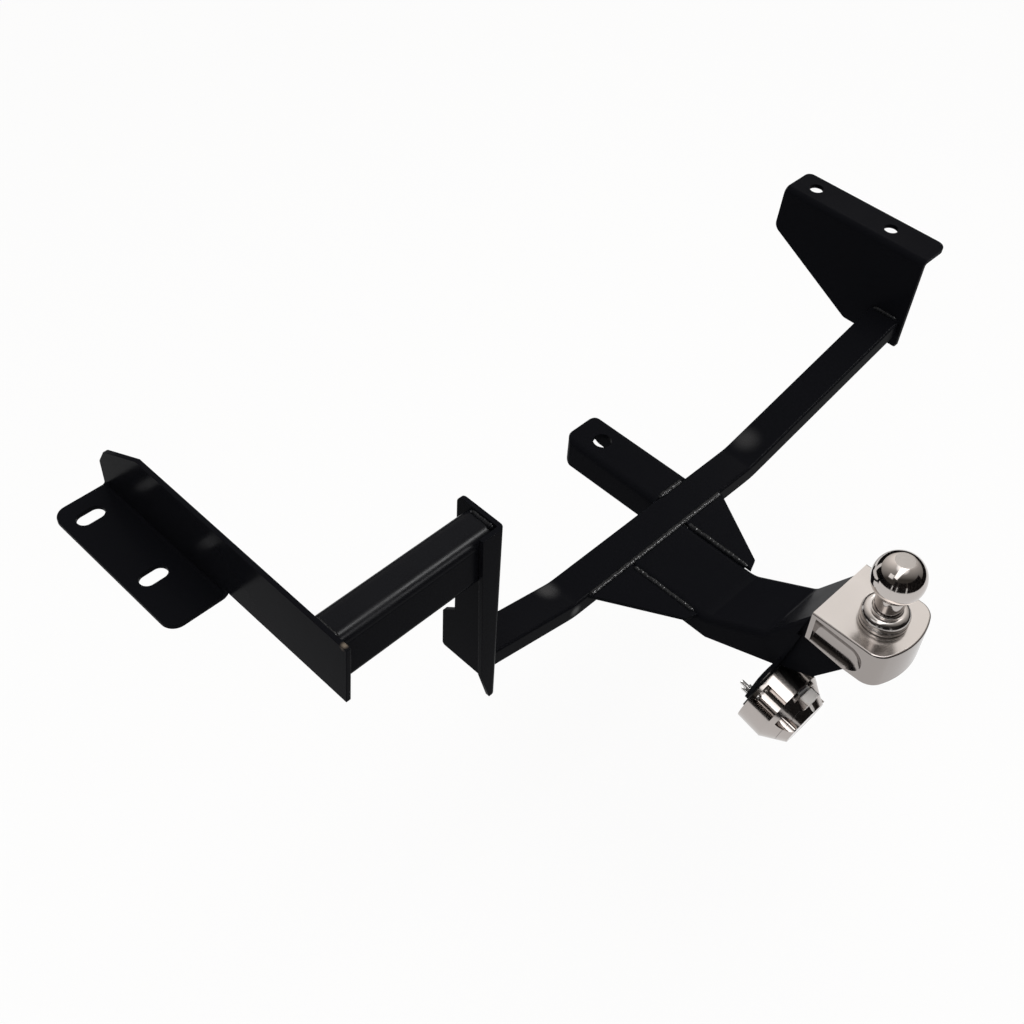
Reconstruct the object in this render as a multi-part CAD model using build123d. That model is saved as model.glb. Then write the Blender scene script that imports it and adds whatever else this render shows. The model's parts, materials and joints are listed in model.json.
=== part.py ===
from build123d import *
from math import copysign, cos, hypot, pi, radians, sin, sqrt, tan
import os

# Towbar for a car: a welded steel frame that bolts under the car, a 50 mm
# ball on a bright cover, and a trailer light socket with a sprung lid.
# Origin at the centre of the ball, X towards the trailer, Y along the
# crossbar, Z up. Millimetres throughout.

# Stock that the frame is welded from
plate = 5.0
plate_bend = 3.0
weld_r = 3.6

# Crossbar
bar_width = 40.0
bar_height = 22.0
bar_corner = 3.0
bar_middle_x = -275.0
bar_top_z = -165.0
bar_bend_left_y = -124.0
bar_bend_right_y = 164.0
bar_rise_deg = 13.3
bar_bend_radius = 70.0

# Upright at the left end of the crossbar
upright_far_y = -245.0
upright_rear_x = -246.5
upright_depth = 54.5
upright_top_z = 51.5
upright_fold = 1.0
upright_bottom_z = -174.5
upright_corner = 8.0
upright_step_z = -107.0
upright_step_out = 16.0
upright_step_drop = 14.0
upright_flange = 26.6
upright_flange_low = 21.0
upright_taper_z = -145.0
upright_tip_z = -188.0
upright_tip_width = 9.0

# Short tube from the left side plate to the upright
stub_width = 38.0
stub_height = 61.0
stub_corner = 6.5
stub_wall = 4.0
stub_top_z = 47.5
stub_gap = 1.0

# Left side plate with its slotted flange
side_inner_y = -422.0
side_rear_x = -239.0
side_rear_lean = 5.0
side_front_x = -589.0
side_top_z = 51.0
side_bottom_z = -23.5
side_slope_x = -519.0
side_nose_x = -577.0
side_nose_z = 20.0
side_corner = 7.0
side_flange = 63.0
side_flange_top_z = -30.0
side_flange_rear_x = -406.0
side_flange_corner = 14.0
slot_width = 16.0
slot_length = 28.0
slot_out = 37.3
slot_front_x = -563.5
slot_pitch = 97.0

# Right bracket with its drilled flange
right_face_y = 423.0
right_rear_x = -248.0
right_front_x = -443.0
right_lean = 3.0
right_top_z = -15.0
right_bottom_z = -140.5
right_front_low_z = -72.0
right_foot_x = -326.0
right_corner = 8.0
right_flange = 47.0
right_hole_r = 8.5
right_hole_out = 26.0
right_hole_front_x = -416.5
right_hole_pitch = 106.0

# Front tongue, a channel that is open below
front_middle_y = 69.0
front_width = 55.5
front_height = 36.0
front_length = 134.0
front_bend = 8.0
front_corner = 14.0
front_hole_r = 10.5
front_hole_from_end = 33.5

# Rear tongue, pressed from one plate and open below
tongue_width = 86.0
tongue_bend = 8.0
tongue_level_x = -156.0
tongue_knee_x = -86.5
tongue_knee_z = -124.5
tongue_end_x = -48.3
tongue_end_z = -65.5
tongue_heel_x = -150.0
tongue_depth = 25.0
tongue_under_x = -76.0
tongue_under_z = -160.6
tongue_fold_radius = 26.0

# Gussets between crossbar and rear tongue
gusset_thick = 4.5
gusset_reach_y = 106.0
gusset_tip_y = 56.0
gusset_tip_x = -168.0
gusset_nose = 5.0

# Ball
ball_r = 25.0
ball_flat_r = 9.0
neck_r = 14.0
neck_flare = 4.0
collar_r = 23.0
collar_top_z = -41.0
collar_low_z = -51.4
collar_round = 7.0
ring_gap = 0.3
shank_r = 11.0
shank_gap = 0.3
shank_end_z = -101.0

# Bright cover over the ball plate
cover_top_z = -57.0
cover_height = 35.4
cover_front_x = -48.0
cover_rear_x = 37.3
cover_rear_r = 76.0
cover_corner_r = 18.0
cover_drop = 6.0
cover_drop_x = -5.0
cover_wall = 3.5
cover_roof = 3.0
cover_edge = 2.0
scoop_r = 22.0
scoop_depth = 6.5
scoop_wall = 2.0
scoop_front_x = -43.0
scoop_rear_x = 11.5
scoop_middle_z = -77.3
scoop_tilt_deg = 4.0

# Ball plate with its cheeks, one casting, and what holds the ball in it
seat_gap = 0.3
side_gap = 0.5
ball_plate_thick = 12.0
cheek_out_y = 38.5
cheek_thick = 12.0
cheek_tip_x = -30.8
cheek_rise_deg = 56.0
cheek_tip_r = 7.0
washer_thick = 4.0
washer_r = 19.0
nut_across_flats = 36.0
nut_height = 18.0

# Trailer socket, in axes of its own: across, up and out of its base
socket_x = -73.0
socket_y = -38.3
socket_z = -201.0
socket_pitch_deg = 12.0
socket_base_r = 39.5
socket_r = 40.2
socket_body = 28.5
socket_rim = 42.3
socket_front = 52.0
socket_front_r = 25.8
socket_bore_r = 20.5
socket_floor = 4.0
screw_across = 26.5
screw_up = 16.0
screw_low = -31.0
screw_r = 2.5
screw_hole_r = 2.75
screw_tail = 13.0
screw_head_r = 4.2
screw_head = 3.0
screw_pocket_r = 12.0
screw_pocket_across = 24.2
screw_pocket_up = 23.2
screw_pocket_low = -37.0
socket_nut_flats = 8.0
socket_nut_height = 4.0
thumb_r = 7.0
thumb_at = 32.5
thumb_start = 34.0
thumb_rod_r = 2.2

# Socket bracket and gasket
bracket_thick = 4.0
gasket_thick = 1.5
bracket_half = 33.0
bracket_low = 6.0
bracket_corner = 7.0
bracket_top_z = -97.0
wire_hole_r = 13.0
grommet_lip = 2.0
grommet_gap = 0.3
grommet_bore_r = 7.0

# Contacts of the socket
insert_gap = 0.3
insert_top = 22.0
contact_r = 2.2
contact_rise = 6.0
contact_circle_r = 12.5
contact_count = 6

# Lid, hinge and spring
lid_gap = 0.3
lid_roof = 3.5
lid_skirt_r = 20.0
hinge_up = 37.5
hinge_out = 31.4
hinge_pin_r = 1.2
hinge_pin_gap = 0.06
hinge_eye_r = 2.3
hinge_ear = 3.5
hinge_notch_half = 10.6
hinge_notch_up = 27.4
hinge_notch_gap = 0.3
arm_gap = 0.4
arm_thick = 2.6
arm_low = 30.0
block_half = 8.4
block_back = 34.1
block_front = 44.5
block_top = 40.0
block_low = 28.0
block_round = 2.0
spring_wire_r = 0.45
spring_coil_r = 1.9
spring_pitch = 1.9
spring_turns = 6
seal_in_r = 21.5
seal_out_r = 24.3
seal_depth = 2.0
seal_gap = 0.1

# Sizes that follow from the ones above
cover_width = tongue_width
bar_front_x = bar_middle_x - bar_width / 2
bar_rear_x = bar_middle_x + bar_width / 2
bar_middle_z = bar_top_z - bar_height / 2
bar_slope = tan(radians(bar_rise_deg))
upright_near_y = upright_far_y - plate
tongue_bottom_z = bar_top_z - tongue_depth
tongue_under_slope = (tongue_under_z - tongue_bottom_z) / (tongue_under_x - tongue_heel_x)
cover_bottom_z = cover_top_z - cover_height
ball_plate_top_z = cover_top_z - cover_roof - seat_gap
ball_plate_low_z = ball_plate_top_z - ball_plate_thick
shank_hole_r = shank_r + shank_gap
screw_spots = [(-screw_across, screw_up), (screw_across, screw_up), (0, screw_low)]
pocket_spots = [
    (-screw_pocket_across, screw_pocket_up),
    (screw_pocket_across, screw_pocket_up),
    (0, screw_pocket_low),
]
tilt = radians(socket_pitch_deg)
socket_plane = Plane(
    origin=(socket_x, socket_y, socket_z),
    x_dir=(0, 1, 0),
    z_dir=(cos(tilt), 0, -sin(tilt)),
)


def outline_xz(points, y):
    """Face with a side outline, drawn at y."""
    view = Plane(origin=(0, y, 0), x_dir=(1, 0, 0), z_dir=(0, -1, 0))
    return view * make_face(Polyline(*points, close=True))


def slab_xz(points, y, thick):
    """Slab with a side outline, from y to y + thick."""
    return extrude(outline_xz(points, y), amount=-thick)


def slab_xy(points, z, thick):
    """Slab with a plan outline, from z to z + thick."""
    face = Pos(0, 0, z) * make_face(Polyline(*points, close=True))
    return extrude(face, amount=thick)


def block(x0, x1, y0, y1, z0, z1):
    """Box between two corners."""
    size = (x1 - x0, y1 - y0, z1 - z0)
    return Pos((x0 + x1) / 2, (y0 + y1) / 2, (z0 + z1) / 2) * Box(*size)


def rounded(shape, axis, places, radius):
    """Round the edges that run along an axis through the given places."""
    picked = []
    for edge in shape.edges().filter_by(axis):
        middle = edge.center()
        spot = {
            Axis.X: (middle.Y, middle.Z),
            Axis.Y: (middle.X, middle.Z),
            Axis.Z: (middle.X, middle.Y),
        }[axis]
        if any(hypot(spot[0] - a, spot[1] - b) < 0.5 for a, b in places):
            picked.append(edge)
    return fillet(picked, radius)


def angle_stock(corner, x_dir, z_dir, across, up, length, fold=plate_bend):
    """Plate folded once, with the outside of its fold at a corner."""
    right = copysign(plate, across)
    top = copysign(plate, up)
    points = [(0, 0), (across, 0), (across, top), (right, top), (right, up), (0, up)]
    face = make_face(Polyline(*points, close=True))
    outer = face.vertices().sort_by_distance((0, 0))[0]
    face = fillet(outer, plate + fold)
    inner = face.vertices().sort_by_distance((right, top))[0]
    face = fillet(inner, fold)
    return extrude(Plane(corner, x_dir=x_dir, z_dir=z_dir) * face, amount=length)


def rod(start, end, radius):
    """Round rod between two points."""
    way = Vector(*end) - Vector(*start)
    base = Plane(origin=start, z_dir=way)
    return extrude(base * Circle(radius), amount=way.length)


def biggest(shape):
    """The largest solid of a cut."""
    return sorted(shape.solids(), key=lambda solid: solid.volume)[-1]


def weld(start, end, *neighbours):
    """Bead along a joint: a rod that the welded plates are cut from."""
    bead = rod(start, end, weld_r)
    for neighbour in neighbours:
        bead = bead - neighbour
    return biggest(bead)


def bar_top_at(y):
    """Height of the crossbar's top at y, bends left out."""
    if y > bar_bend_right_y:
        return bar_top_z + (y - bar_bend_right_y) * bar_slope
    if y < bar_bend_left_y:
        return bar_top_z + (bar_bend_left_y - y) * bar_slope
    return bar_top_z


def make_crossbar():
    """Rectangular bar that bends upwards towards each end."""
    spare = 30.0
    left_y = upright_far_y - spare
    right_y = right_face_y + spare
    half = bar_height / 2
    route = FilletPolyline(
        (bar_middle_x, left_y, bar_top_at(left_y) - half),
        (bar_middle_x, bar_bend_left_y, bar_middle_z),
        (bar_middle_x, bar_bend_right_y, bar_middle_z),
        (bar_middle_x, right_y, bar_top_at(right_y) - half),
        radius=bar_bend_radius,
    )
    start = Plane(origin=route @ 0, x_dir=(1, 0, 0), z_dir=route % 0)
    bar = sweep(start * RectangleRounded(bar_width, bar_height, bar_corner), path=route)
    reach = 10 * bar_height
    return bar & block(
        bar_front_x - 1,
        bar_rear_x + 1,
        upright_far_y,
        right_face_y,
        bar_middle_z - reach,
        bar_middle_z + reach,
    )


def make_upright():
    """Folded plate: its web ends the crossbar, its flange stands behind."""
    lug_x = upright_rear_x - upright_depth - upright_step_out
    front_x = upright_rear_x - upright_depth
    stock = angle_stock(
        (upright_rear_x, upright_far_y, upright_tip_z),
        (1, 0, 0),
        (0, 0, 1),
        lug_x - upright_rear_x - 1,
        -upright_flange - 1,
        upright_top_z - upright_tip_z,
        upright_fold,
    )
    low_z = upright_step_z - upright_step_drop
    fold_x = upright_rear_x - plate - plate / 2
    side = slab_xz(
        [
            (upright_rear_x + 1, upright_top_z),
            (front_x, upright_top_z),
            (front_x, upright_step_z),
            (lug_x, low_z),
            (lug_x, upright_bottom_z),
            (fold_x, upright_bottom_z),
            (fold_x + plate / 2, upright_tip_z - 1),
            (upright_rear_x + 1, upright_tip_z - 1),
        ],
        upright_far_y - 60,
        70,
    )
    side = rounded(side, Axis.Y, [(front_x, upright_top_z)], upright_corner)
    side = rounded(side, Axis.Y, [(lug_x, low_z), (lug_x, upright_bottom_z)], upright_corner / 2)
    view = Plane(origin=(upright_rear_x - 100, 0, 0), x_dir=(0, 1, 0), z_dir=(1, 0, 0))
    end = view * make_face(
        Polyline(
            (upright_far_y + 1, upright_top_z + 1),
            (upright_far_y - upright_flange, upright_top_z + 1),
            (upright_far_y - upright_flange_low, upright_taper_z),
            (upright_far_y - upright_tip_width, upright_tip_z),
            (upright_far_y + 1, upright_tip_z),
            close=True,
        )
    )
    return stock & side & extrude(end, amount=200)


def make_stub_tube():
    """Rectangular tube between the left side plate and the upright."""
    rear_x = upright_rear_x - plate - stub_gap
    place = Plane(
        origin=(rear_x - stub_width / 2, side_inner_y, stub_top_z - stub_height / 2),
        x_dir=(1, 0, 0),
        z_dir=(0, 1, 0),
    )
    outer = RectangleRounded(stub_width, stub_height, stub_corner)
    inner = RectangleRounded(
        stub_width - 2 * stub_wall, stub_height - 2 * stub_wall, stub_corner - stub_wall
    )
    return extrude(place * (outer - inner), amount=upright_near_y - side_inner_y)


def make_side_plate():
    """Folded plate whose slotted flange bolts to the left rail."""
    stock = angle_stock(
        (side_front_x, side_inner_y, side_flange_top_z - plate),
        (0, 1, 0),
        (1, 0, 0),
        -side_flange,
        side_top_z - side_flange_top_z + plate,
        side_rear_x - side_front_x,
    )
    low_z = side_flange_top_z - plate - 1
    side = slab_xz(
        [
            (side_rear_x, side_top_z),
            (side_slope_x, side_top_z),
            (side_nose_x, side_nose_z),
            (side_front_x, 0),
            (side_front_x, low_z),
            (side_flange_rear_x, low_z),
            (side_flange_rear_x, side_bottom_z),
            (side_rear_x - side_rear_lean, side_bottom_z),
        ],
        side_inner_y - side_flange - 1,
        side_flange + 2,
    )
    nose = [(side_nose_x, side_nose_z), (side_front_x, 0)]
    side = rounded(side, Axis.Y, nose, side_corner)
    body = stock & side
    outer_y = side_inner_y - side_flange
    near_y = side_inner_y - plate
    body -= block(side_flange_rear_x, side_rear_x + 1, outer_y - 1, near_y, low_z, 0)
    corners = [(side_front_x, outer_y), (side_flange_rear_x, outer_y)]
    body = rounded(body, Axis.Z, corners, side_flange_corner)
    for number in range(2):
        x = slot_front_x + number * slot_pitch
        spot = Pos(x, side_inner_y - slot_out, low_z - plate) * Rot(0, 0, 90)
        body -= extrude(spot * SlotOverall(slot_length, slot_width), amount=3 * plate)
    return body


def make_right_bracket():
    """Folded plate whose drilled flange bolts to the right rail."""
    stock = angle_stock(
        (right_front_x - right_lean, right_face_y, right_top_z),
        (0, 1, 0),
        (1, 0, 0),
        right_flange,
        right_bottom_z - right_top_z - 1,
        right_rear_x - right_front_x + right_lean,
    )
    low_x = right_rear_x - right_lean
    side = slab_xz(
        [
            (right_rear_x, right_top_z + 1),
            (right_front_x, right_top_z + 1),
            (right_front_x - right_lean, right_front_low_z),
            (right_foot_x, right_bottom_z),
            (low_x, right_bottom_z),
        ],
        right_face_y - 1,
        right_flange + 2,
    )
    spots = [(right_front_x - right_lean, right_front_low_z), (right_foot_x, right_bottom_z)]
    side = rounded(side, Axis.Y, spots, 1.5 * right_corner)
    side = rounded(side, Axis.Y, [(low_x, right_bottom_z)], plate_bend)
    body = stock & side
    outer_y = right_face_y + right_flange
    keep = block(
        right_front_x - 10, right_rear_x + 1, right_face_y - 1, outer_y, -300, right_top_z + 1
    )
    keep -= block(-900, right_front_x, right_face_y + 2 * plate, outer_y + 1, -300, 0)
    body &= keep
    corners = [(right_front_x, outer_y), (right_rear_x, outer_y)]
    body = rounded(body, Axis.Z, corners, right_corner)
    for number in range(2):
        x = right_hole_front_x + number * right_hole_pitch
        spot = (x, right_face_y + right_hole_out)
        body -= Pos(*spot, right_top_z) * Cylinder(right_hole_r, 4 * plate)
    return body


def make_front_tongue():
    """Channel that reaches forward to a bolt under the car's floor."""
    end_x = bar_front_x - front_length
    half = front_width / 2
    low_y = front_middle_y - half
    high_y = front_middle_y + half
    low_z = bar_top_z - front_height
    outer = block(end_x, bar_front_x, low_y, high_y, low_z, bar_top_z)
    outer = rounded(outer, Axis.X, [(low_y, bar_top_z), (high_y, bar_top_z)], front_bend)
    roof_z = bar_top_z - plate
    inner = block(
        end_x - 1, bar_front_x + 1, low_y + plate, high_y - plate, low_z - 1, roof_z
    )
    bends = [(low_y + plate, roof_z), (high_y - plate, roof_z)]
    inner = rounded(inner, Axis.X, bends, front_bend - plate)
    reach = (end_x, bar_front_x, low_y - 1, high_y + 1, low_z, bar_top_z + 1)
    plan = block(end_x, bar_front_x, low_y, high_y, low_z - 1, bar_top_z + 1)
    plan = rounded(plan, Axis.Z, [(end_x, low_y), (end_x, high_y)], front_corner)
    profile = rounded(block(*reach), Axis.Y, [(end_x, low_z)], front_corner)
    channel = (outer - inner) & plan & profile
    hole = Pos(end_x + front_hole_from_end, front_middle_y, bar_top_z)
    return channel - hole * Cylinder(front_hole_r, 4 * plate)


def socket_layer_x(z, out):
    """Where a layer parallel to the socket's base passes at height z."""
    up = (z - socket_z + out * sin(tilt)) / cos(tilt)
    return socket_x + up * sin(tilt) + out * cos(tilt)


def beyond_layer(out):
    """Everything on the trailer's side of a layer of the socket."""
    return socket_plane * Pos(0, 0, out + 250) * Box(900, 900, 500)


def parallel(points, distance):
    """Corners of a line that runs beside another, to its right."""
    ends = []
    for first, second in zip(points, points[1:]):
        along = hypot(second[0] - first[0], second[1] - first[1])
        ends.append(((second[0] - first[0]) / along, (second[1] - first[1]) / along))
    moved = []
    for number, point in enumerate(points):
        before = ends[max(number - 1, 0)]
        after = ends[min(number, len(ends) - 1)]
        bisector = (before[0] + after[0], before[1] + after[1])
        size = hypot(*bisector)
        reach = 2 * distance / size
        moved.append((point[0] + bisector[1] / size * reach, point[1] - bisector[0] / size * reach))
    return moved


def tongue_block(width, top, radius, low):
    """Solid below a folded top line, as wide as the tongue or its inside."""
    line = FilletPolyline(*top, radius=radius)
    rest = Polyline(top[-1], *low, top[0])
    view = Plane(origin=(0, -width / 2, 0), x_dir=(1, 0, 0), z_dir=(0, -1, 0))
    return extrude(view * make_face([*line.edges(), *rest.edges()]), amount=-width)


def round_ridge(shape, width, top, radius):
    """Round both long edges where the sides meet the folded top."""
    picked = []
    for edge in shape.edges():
        middle = edge.center()
        spread = edge.bounding_box().size
        if abs(abs(middle.Y) - width / 2) < 0.1 and spread.Y < 0.1 and spread.X > 1:
            if middle.Z > top_height(top, middle.X) - 3:
                picked.append(edge)
    return fillet(picked, radius)


def top_height(top, x):
    """Height of a line of points at x."""
    for first, second in zip(top, top[1:]):
        if x <= second[0]:
            share = (x - first[0]) / (second[0] - first[0])
            return first[1] + share * (second[1] - first[1])
    return top[-1][1]


def make_rear_tongue():
    """Deep pressing whose top folds upwards twice on its way to the ball."""
    top = [
        (bar_rear_x, bar_top_z),
        (tongue_level_x, bar_top_z),
        (tongue_knee_x, tongue_knee_z),
        (tongue_end_x, tongue_end_z),
    ]
    far_x = tongue_end_x + 5
    far_z = tongue_under_z + (far_x - tongue_under_x) * tongue_under_slope
    low = [
        (tongue_end_x, far_z),
        (tongue_heel_x, tongue_bottom_z),
        (bar_rear_x, tongue_bottom_z),
    ]
    outer = tongue_block(tongue_width, top, tongue_fold_radius, low)
    outer = round_ridge(outer, tongue_width, top, tongue_bend)
    inside = tongue_width - 2 * plate
    under = parallel(top, plate)
    under[0] = (under[0][0] - 1, under[0][1])
    under[-1] = (under[-1][0] + 2, under[-1][1] + 3)
    deep = tongue_bottom_z - 20
    inner = tongue_block(
        inside,
        under,
        tongue_fold_radius + plate,
        [(under[-1][0] + 20, deep), (under[0][0], deep)],
    )
    inner = round_ridge(inner, inside, under, tongue_bend - plate)
    return outer - inner - beyond_layer(-gasket_thick - bracket_thick)


def make_gusset(side):
    """Flat plate in the corner between the tongue and the crossbar."""
    edge_y = tongue_width / 2
    points = [
        (bar_rear_x, side * edge_y),
        (gusset_tip_x + gusset_nose, side * edge_y),
        (gusset_tip_x, side * gusset_tip_y),
        (bar_rear_x, side * gusset_reach_y),
    ]
    return slab_xy(points, bar_top_z - gusset_thick, gusset_thick)


def scoop_middle_at(along):
    """Height of the scoop's middle line at a distance from its front."""
    return scoop_middle_z - along * tan(radians(scoop_tilt_deg))


def scoop(extra):
    """Rounded body that hollows both sides of the cover, grown by extra."""
    radius = scoop_r + extra
    middle_y = cover_width / 2 - scoop_depth + scoop_r
    end_x = scoop_rear_x - sqrt(scoop_r**2 - (scoop_r - scoop_depth) ** 2)
    bodies = []
    for side in (-1, 1):
        start = (scoop_front_x - 2 * scoop_r, side * middle_y, scoop_middle_at(-2 * scoop_r))
        end = (end_x, side * middle_y, scoop_middle_at(end_x - scoop_front_x))
        bodies.append(rod(start, end, radius) + Pos(*end) * Sphere(radius))
    left, right = bodies
    front = block(-300, scoop_front_x - extra, -200, 200, -200, 0)
    return (left - front) + (right - front)


def cover_plan(inset, front_x):
    """Plan of the cover: straight sides and a bowed rear."""
    half = cover_width / 2 - inset
    radius = cover_rear_r - inset
    middle_x = cover_rear_x - cover_rear_r
    corner_x = middle_x + sqrt(radius**2 - half**2)
    bow = ThreePointArc((corner_x, -half), (middle_x + radius, 0), (corner_x, half))
    sides = Polyline((corner_x, half), (front_x, half), (front_x, -half), (corner_x, -half))
    face = make_face([*bow.edges(), *sides.edges()])
    corners = face.vertices().sort_by(Axis.X)[-2:]
    return fillet(corners, cover_corner_r - inset)


def make_cover():
    """Bright moulded cover, open below and towards the car."""
    deep = cover_height + cover_drop
    plan = Pos(0, 0, cover_top_z) * cover_plan(0, cover_front_x)
    outer = extrude(plan, amount=-deep)
    below = slab_xz(
        [
            (cover_front_x - 1, cover_bottom_z),
            (cover_drop_x, cover_bottom_z - cover_drop),
            (cover_rear_x + 1, cover_bottom_z - cover_drop),
            (cover_rear_x + 1, cover_bottom_z - 3 * cover_drop),
            (cover_front_x - 1, cover_bottom_z - 3 * cover_drop),
        ],
        -cover_width,
        2 * cover_width,
    )
    outer -= below
    top = outer.faces().sort_by(Axis.Z)[-1]
    rim = [edge for edge in top.edges() if edge.center().X > cover_front_x + 1]
    outer = fillet(rim, cover_edge)
    roof_z = cover_top_z - cover_roof
    cavity = extrude(
        Pos(0, 0, roof_z) * cover_plan(cover_wall, cover_front_x - 10),
        amount=-deep,
    )
    cavity = cavity - scoop(scoop_wall)
    return outer - cavity - scoop(0) - Pos(0, 0, cover_top_z) * Cylinder(shank_hole_r, 20)


def make_ball_carrier():
    """Casting: a thick plate for the ball on two cheeks."""
    far_x = socket_layer_x(ball_plate_low_z, -gasket_thick - bracket_thick) - 10
    seat = extrude(
        Pos(0, 0, ball_plate_low_z) * cover_plan(cover_wall + side_gap, far_x),
        amount=ball_plate_thick,
    )
    tip_z = tongue_under_z + (cheek_tip_x - tongue_under_x) * tongue_under_slope
    rise = tan(radians(cheek_rise_deg))
    low_x = tongue_under_x + 5
    low_z = tongue_under_z + (low_x - tongue_under_x) * tongue_under_slope
    outline = [
        (socket_layer_x(ball_plate_top_z, -gasket_thick) - 20, ball_plate_low_z),
        (socket_layer_x(low_z, -gasket_thick) - 20, low_z - 20 * tongue_under_slope),
        (cheek_tip_x, tip_z),
        (cheek_tip_x + (ball_plate_low_z - tip_z) / rise, ball_plate_low_z),
    ]
    body = seat
    for y in (-cheek_out_y, cheek_out_y - cheek_thick):
        cheek = slab_xz(outline, y, cheek_thick)
        body += rounded(cheek, Axis.Y, [(cheek_tip_x, tip_z)], cheek_tip_r)
    body -= scoop(scoop_wall + side_gap)
    body -= Pos(0, 0, ball_plate_top_z) * Cylinder(shank_hole_r, 60)
    body &= beyond_layer(-gasket_thick - bracket_thick)
    return body - bracket_room()


def make_tow_ball():
    """Ball, waisted neck, rounded collar and shank, turned in one piece."""
    flat_z = sqrt(ball_r**2 - ball_flat_r**2)
    neck_z = -sqrt(ball_r**2 - neck_r**2)
    foot_r = neck_r + neck_flare
    top_z = collar_top_z + neck_flare
    bulge_z = collar_top_z - collar_round
    diagonal = sqrt(0.5)
    profile = [
        Line((0, flat_z), (ball_flat_r, flat_z)),
        ThreePointArc((ball_flat_r, flat_z), (ball_r, 0), (neck_r, neck_z)),
        Line((neck_r, neck_z), (neck_r, top_z)),
        ThreePointArc(
            (neck_r, top_z),
            (foot_r - neck_flare * diagonal, top_z - neck_flare * diagonal),
            (foot_r, collar_top_z),
        ),
        TangentArc((foot_r, collar_top_z), (collar_r, bulge_z), tangent=(1, 0)),
        Polyline(
            (collar_r, bulge_z),
            (collar_r, collar_low_z),
            (shank_r, collar_low_z),
            (shank_r, shank_end_z),
            (0, shank_end_z),
            (0, flat_z),
        ),
    ]
    edges = [edge for part in profile for edge in part.edges()]
    return revolve(Plane.XZ * make_face(edges), axis=Axis.Z)


def ring(outer_r, inner_r, low_z, high_z):
    """Plain ring about Z."""
    face = Circle(outer_r) - Circle(inner_r)
    return extrude(Pos(0, 0, low_z) * face, amount=high_z - low_z)


def make_seat_ring():
    """Loose ring between the collar and the cover."""
    body = ring(collar_r, shank_hole_r, cover_top_z, collar_low_z - ring_gap)
    return chamfer(body.edges().filter_by(GeomType.CIRCLE).sort_by(SortBy.RADIUS)[-2:], 0.8)


def make_ball_nut():
    """Hexagon nut below the ball plate."""
    top_z = ball_plate_low_z - washer_thick
    flat_r = nut_across_flats / 2
    hexagon = RegularPolygon(flat_r, 6, major_radius=False) - Circle(shank_hole_r)
    nut = extrude(Pos(0, 0, top_z - nut_height) * hexagon, amount=nut_height)
    cone = Pos(0, 0, top_z - nut_height) * Cone(
        flat_r, flat_r + nut_height, nut_height, align=(Align.CENTER, Align.CENTER, Align.MIN)
    )
    return nut & cone


def bracket_top_up():
    """Top of the socket bracket, measured up from the socket's axis."""
    return (bracket_top_z - socket_z) / cos(tilt)


def bracket_room():
    """Layer that the socket bracket stands in, up to its top."""
    top = bracket_top_up()
    return socket_plane * block(-99, 99, -99, top, -gasket_thick - bracket_thick, -gasket_thick)


def make_socket_bracket():
    """Plate that closes the tongue's end and carries the socket."""
    top_up = bracket_top_up()
    join_z = tongue_under_z + (socket_layer_x(-157, 0) - tongue_under_x) * tongue_under_slope
    join_up = (join_z - socket_z) / cos(tilt)
    left = -tongue_width / 2 - socket_y
    carry = block(-bracket_half, bracket_half, bracket_low, join_up + 12, 0, 1)
    low = [(-bracket_half, bracket_low), (bracket_half, bracket_low)]
    carry = rounded(carry, Axis.Z, low, bracket_corner)
    carry = rounded(carry, Axis.Z, [(-bracket_half, join_up + 12)], 2 * bracket_corner)
    close = block(left, left + tongue_width, join_up, top_up, 0, 1)
    flat = (carry + close).faces().sort_by(Axis.Z)[0]
    body = extrude(flat, amount=bracket_thick, dir=(0, 0, -1))
    body -= Cylinder(wire_hole_r, 40)
    for spot in screw_spots[:2]:
        body -= Pos(*spot) * Cylinder(screw_hole_r, 40)
    return socket_plane * Pos(0, 0, -gasket_thick) * body


def make_socket_gasket():
    """Rubber sheet between the socket and its bracket."""
    face = Circle(socket_base_r - 1) - Circle(wire_hole_r)
    body = extrude(face, amount=-gasket_thick)
    body &= block(-99, 99, bracket_low, socket_base_r, -9, 9)
    for spot in screw_spots[:2]:
        body -= Pos(*spot) * Cylinder(screw_hole_r, 40)
    return socket_plane * body


def socket_radius(out):
    """Radius of the socket's outside at a distance from its base."""
    if out < socket_body:
        return socket_base_r + (socket_r - socket_base_r) * out / socket_body
    share = (out - socket_body) / (socket_front - socket_body)
    return socket_r + (socket_front_r - socket_r) * share


def turned(points):
    """Body turned about the socket's axis, from radius and distance."""
    return revolve(Plane.XZ * make_face(Polyline(*points, close=True)), axis=Axis.Z)


def thumb_grooves():
    """Grooves down both flanks of the nose, for thumb and finger."""
    spread = hypot(screw_across, screw_up)
    cut = None
    for side in (-1, 1):
        x = side * thumb_at * screw_across / spread
        y = thumb_at * screw_up / spread
        groove = rod((x, y, thumb_start), (x, y, socket_front + 10), thumb_r)
        cut = groove if cut is None else cut + groove
    return cut


def thumb_rods(start, end):
    """Raised rods along the floors of both grooves."""
    spread = hypot(screw_across, screw_up)
    reach = thumb_at - thumb_r + thumb_rod_r / 2
    rods = []
    for side in (-1, 1):
        x = side * reach * screw_across / spread
        y = reach * screw_up / spread
        rods.append(rod((x, y, start), (x, y, end), thumb_rod_r))
    return rods


def hinge_disc(x0, x1, radius):
    """Disc about the hinge's axis, from x0 to x1 across."""
    return rod((x0, hinge_up, hinge_out), (x1, hinge_up, hinge_out), radius)


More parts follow.
